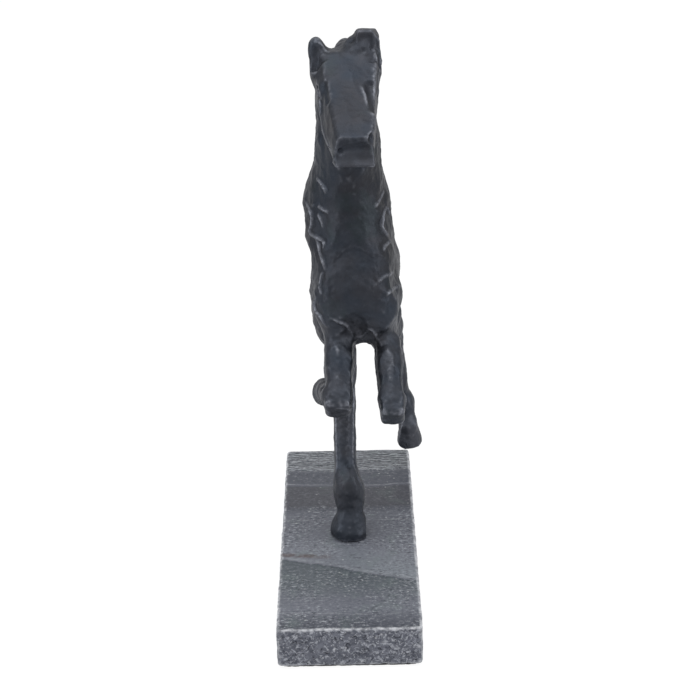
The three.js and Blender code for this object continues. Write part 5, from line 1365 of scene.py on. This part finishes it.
def thread(axis_xy, r_minor, r_major, z0, z1, pitch, sides=48, inner=None):
    """a V thread between two levels, as a stack of rings whose radius follows the helix"""
    rows = int((z1 - z0) / pitch * 12) + 1
    zs = np.linspace(z0, z1, rows)
    ang = np.arange(sides) * 2 * math.pi / sides
    vs = []
    for z in zs:
        ph = ((z - z0) / pitch - ang / (2 * math.pi)) % 1.0
        tri = 1 - np.abs(ph * 2 - 1)
        r = r_minor + (r_major - r_minor) * np.clip(tri * 1.25 - .1, 0, 1)
        lead = np.clip(min(z - z0, z1 - z) / (pitch * .9), 0, 1)
        r = np.minimum(r, r_minor - .25 + (r_major - r_minor + .25) * (.15 + .85 * lead))
        vs.append(np.stack([axis_xy[0] + r * np.cos(ang), axis_xy[1] + r * np.sin(ang), np.full(sides, z)], 1))
    v = np.concatenate(vs)
    f = []
    for k in range(rows - 1):
        i = np.arange(sides)
        j = (i + 1) % sides
        a, b, c, d = k * sides + i, k * sides + j, (k + 1) * sides + j, (k + 1) * sides + i
        f += [np.stack([a, b, c], 1), np.stack([a, c, d], 1)]
    c0 = len(v)
    v = np.vstack([v, [axis_xy[0], axis_xy[1], z0], [axis_xy[0], axis_xy[1], z1]])
    i = np.arange(sides)
    j = (i + 1) % sides
    f += [np.stack([np.full(sides, c0), j, i], 1), np.stack([np.full(sides, c0 + 1), (rows - 1) * sides + i, (rows - 1) * sides + j], 1)]
    return to_mesh('thread', v, np.concatenate(f))


def finish_piece(me, name, material, node, sharp=30):
    me.name = name
    me.materials.clear()
    me.materials.append(material)
    me.polygons.foreach_set('use_smooth', np.ones(len(me.polygons), bool))
    me.set_sharp_from_angle(angle=math.radians(sharp))
    ob = obj_of(name, me)
    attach(ob, 'root')
    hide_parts(node)
    return ob


SX, SY = 1.0, -1.5
stud = thread((SX, SY), 2.42, 2.98, 3.0, 38.0, 1.0)
finish_piece(stud, 'stud_m6', steel_material('stud_steel'), 'mounting_stud', 50)


def ring(ro, ri, z0, z1, ch, sides=64):
    prof = [(ri, z0), (ro - ch, z0), (ro, z0 + ch), (ro, z1 - ch), (ro - ch, z1), (ri, z1)]
    n = len(prof)
    ang = np.arange(sides) * 2 * math.pi / sides
    v = np.concatenate([np.stack([SX + r * np.cos(ang), SY + r * np.sin(ang), np.full(sides, z)], 1) for r, z in prof])
    f = []
    i = np.arange(sides)
    j = (i + 1) % sides
    for k in range(n):
        m = (k + 1) % n
        f += [np.stack([k * sides + i, k * sides + j, m * sides + j], 1), np.stack([k * sides + i, m * sides + j, m * sides + i], 1)]
    return to_mesh('ring', v, np.concatenate(f))


wz = 13 - 1.6 - .02
finish_piece(ring(9, 3.2, wz, wz + 1.6, .25), 'washer_plain', steel_material('washer_steel', False), 'plain_washer')
# split spring washer: a strip wound once, its two ends a little apart
sz = wz - 1.6 - .02
n_s = 72
vs = []
for i in range(n_s + 1):
    a = math.radians(7 + 346 * i / n_s)
    lift = .25 * i / n_s
    for r, z in ((3.15, 0.0), (5.75, 0.0), (5.9, .15), (5.9, 1.2), (5.75, 1.35), (3.15, 1.35)):
        vs.append([SX + r * math.cos(a), SY + r * math.sin(a), sz + z + lift])
fs = []
for i in range(n_s):
    for k in range(6):
        m = (k + 1) % 6
        a, b, c, d = i * 6 + k, i * 6 + m, (i + 1) * 6 + m, (i + 1) * 6 + k
        fs += [[a, d, c], [a, c, b]]
for k in range(1, 5):
    fs += [[0, k, k + 1], [n_s * 6, n_s * 6 + k + 1, n_s * 6 + k]]
spring = to_mesh('spring', np.array(vs), np.array(fs))
bm = bmesh.new()
bm.from_mesh(spring)
bmesh.ops.recalc_face_normals(bm, faces=bm.faces)
bm.to_mesh(spring)
bm.free()
finish_piece(spring, 'washer_spring', steel_material('spring_steel', False), 'spring_washer')
# nut: chamfered hexagon with a countersunk tapped hole
nz = sz - 5 - .02
hexa = lathe([SX, SY, nz], [SX, SY, nz + 5], [(5 / math.cos(math.pi / 6), 0), (5 / math.cos(math.pi / 6), 5)], 6)
cone = lathe([SX, SY, nz], [SX, SY, nz + 5], [(4.9, 0), (6.2, .75), (6.2, 4.25), (4.9, 5)], 72)
nut = boolean(hexa, cone, 'INTERSECT')
bore = lathe([SX, SY, nz - .5], [SX, SY, nz + 5.5], [(4.0, 0), (3.06, .95), (3.06, 5.05), (4.0, 6.0)], 48)
nut = boolean(nut, bore, 'DIFFERENCE')
finish_piece(nut, 'nut_m6', steel_material('nut_steel', False), 'hex_nut')
pin = lathe([1, 5, 16.5], [1, 5, 33], [(1.05, 0), (1.38, .15), (1.5, .45), (1.5, 16.05), (1.38, 16.35), (1.05, 16.5)], 40)
finish_piece(pin, 'dowel_pin', steel_material('pin_steel'), 'locating_pin', 40)


def felt_field(p):
    x, y, z = p[:, 0], p[:, 1], p[:, 2]
    qx, qy = np.abs(x) - 34.6, np.abs(y) - 94.6
    edge_ = np.hypot(np.maximum(qx, 0), np.maximum(qy, 0)) + np.minimum(np.maximum(qx, qy), 0) - 3.2
    edge_ = edge_ + .18 * vnoise(p, 1.6, 71)
    under = -1.5 - z + .10 + .09 * vnoise(p, 2.2, 72) + .06 * vnoise(p, 1.1, 73)
    return smax(edge_, np.maximum(under, z), .35)


fh = .62
FV, FQ = skin(felt_field, np.array([-39.0, -99.0, -2.4]) + .011, np.array([39.0, 99.0, 1.2]), fh, coarse=2)
FV[:, 2] = np.clip(FV[:, 2], -1.5, 0)
felt = to_mesh('felt', FV, triangles(FV, FQ))


def felt_material():
    t = Tree('felt_black')
    co = t.coords()
    fib = t.noise(t.mapped(co, scale=(1, .35, 1)), 1500, 5, .75, 2.5)
    fib2 = t.noise(t.mapped(co, scale=(.35, 1, 1), loc=(2, 3, 4)), 1500, 5, .75, 2.5)
    lint = t.voronoi(co, 420)
    col = t.mix(t.remap(fib, .35, .65), lin(26, 28, 30), lin(44, 46, 48))
    col = t.mix(t.remap(fib2, .5, .7, 0, .6), col, lin(56, 58, 60))
    col = t.mix(t.remap(lint, .10, .03, 0, .5), col, lin(120, 120, 118))
    h = t.math('ADD', fib, fib2)
    return t.surface(Base_Color=col, Roughness=.96, Normal=t.bump(h, .8, .0006), Sheen_Weight=.5, Sheen_Roughness=.5, Specular_IOR_Level=.1)


finish_piece(felt, 'felt_sheet_soft', felt_material(), 'felt_sheet', 60)
say('fixings')

# ================================================================== floor, light, camera
fl_me = bpy.data.meshes.new('floor')
fl_me.from_pydata([(-6, -6, 0), (6, -6, 0), (6, 9, 0), (-6, 9, 0)], [], [(0, 1, 2, 3)])
floor = obj_of('floor', fl_me)
t = Tree('pale_floor')
seen = t.node('ShaderNodeLightPath').outputs['Is Camera Ray']
mottle = t.noise(t.coords(), 9, 3, .5)
pale = t.node('ShaderNodeBsdfDiffuse', {'Color': t.mix(mottle, (.86, .86, .86), (.90, .90, .90))})
glow = t.node('ShaderNodeEmission', {'Color': (1, 1, 1), 'Strength': 1.06})
far = t.node('ShaderNodeBsdfDiffuse', {'Color': t.mix(mottle, (.60, .60, .61), (.64, .64, .65))})
lit = t.node('ShaderNodeMixShader')
t.set(lit, 0, .12)
t.t.links.new(glow.outputs[0], lit.inputs[1])
t.t.links.new(pale.outputs[0], lit.inputs[2])
both = t.node('ShaderNodeMixShader', {0: seen})
t.t.links.new(far.outputs[0], both.inputs[1])
t.t.links.new(lit.outputs[0], both.inputs[2])
t.t.links.new(both.outputs[0], t.out.inputs['Surface'])
fl_me.materials.append(t.m)
floor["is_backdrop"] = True

world = bpy.data.worlds.new('studio')
bpy.context.scene.world = world
world.use_nodes = True
wt = world.node_tree
wt.nodes.clear()


def wnode(kind, **props):
    n = wt.nodes.new(kind)
    for k, v in props.items():
        setattr(n, k, v)
    return n


wout = wnode('ShaderNodeOutputWorld')
wgeo = wnode('ShaderNodeTexCoord')
wsep = wnode('ShaderNodeSeparateXYZ')
wt.links.new(wgeo.outputs['Generated'], wsep.inputs[0])
wmap = wnode('ShaderNodeMapRange')
wmap.inputs['From Min'].default_value = -1
wmap.inputs['From Max'].default_value = 1
wt.links.new(wsep.outputs[2], wmap.inputs['Value'])
wramp = wnode('ShaderNodeValToRGB')
wr = wramp.color_ramp
wr.elements[0].position, wr.elements[0].color = 0.0, (.40, .40, .41, 1)
wr.elements[1].position, wr.elements[1].color = 1.0, (1.15, 1.15, 1.15, 1)
for pos_, val_ in ((.47, .46), (.56, .54), (.72, .76)):
    e_ = wr.elements.new(pos_)
    e_.color = (val_, val_, val_ * 1.02, 1)
wt.links.new(wmap.outputs[0], wramp.inputs[0])
bg1, bg2 = wnode('ShaderNodeBackground'), wnode('ShaderNodeBackground')
wt.links.new(wramp.outputs[0], bg1.inputs[0])
bg2.inputs[0].default_value = (1, 1, 1, 1)
wmix = wnode('ShaderNodeMixShader')
wlp = wnode('ShaderNodeLightPath')
wt.links.new(wlp.outputs['Is Camera Ray'], wmix.inputs[0])
wt.links.new(bg1.outputs[0], wmix.inputs[1])
wt.links.new(bg2.outputs[0], wmix.inputs[2])
wt.links.new(wmix.outputs[0], wout.inputs[0])


def area(name, loc, target, size, power, color=(1, 1, 1)):
    d = bpy.data.lights.new(name, 'AREA')
    d.shape = 'RECTANGLE'
    d.size, d.size_y = size
    d.energy = power
    d.color = color
    o = bpy.data.objects.new(name, d)
    o.location = loc
    o.rotation_euler = (Vector(target) - Vector(loc)).to_track_quat('-Z', 'Y').to_euler()
    bpy.context.scene.collection.objects.link(o)
    return o


area('key_top', (-.1, -.25, 1.5), (0, 0, .15), (1.1, 1.1), 5.4)
area('side_left', (-1.1, -.35, .55), (0, 0, .2), (.5, 1.0), 2.6)
area('side_right', (1.1, -.3, .6), (0, 0, .2), (.5, 1.0), 2.8)

PI_, YA, RO = (math.radians(a) for a in (25.46, -.26, -1.27))
cy, sy, cp, sp = math.cos(YA), math.sin(YA), math.cos(PI_), math.sin(PI_)
fwd = Vector((sy * cp, cy * cp, -sp))
right = Vector((cy, -sy, 0))
up = right.cross(fwd)
r2 = right * math.cos(RO) + up * math.sin(RO)
u2 = right * -math.sin(RO) + up * math.cos(RO)
cam_d = bpy.data.cameras.new('camera')
cam_d.sensor_width = 36
cam_d.sensor_fit = 'HORIZONTAL'
cam_d.lens = 1574.6 * 36 / 700
cam_d.clip_start = .01
cam = bpy.data.objects.new('camera', cam_d)
bpy.context.scene.collection.objects.link(cam)
m = Matrix((r2, u2, -fwd)).transposed().to_4x4()
m.translation = Vector((6.9, -804.6, 527.4 + FELT_T)) * MM
cam.matrix_world = m
bpy.context.scene.camera = cam
bpy.context.scene.view_settings.view_transform = 'Standard'
bpy.context.scene.view_settings.look = 'None'
bpy.context.scene.view_settings.exposure = 0.0
bpy.context.scene.view_settings.gamma = 1.0

bpy.context.view_layer.update()


def numbers(b):
    return [[float(v) for v in q] if hasattr(q, '__len__') else float(q) for q in b]


{'cad': numbers(cad_box), 'visual': numbers(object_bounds())}
say('ready')
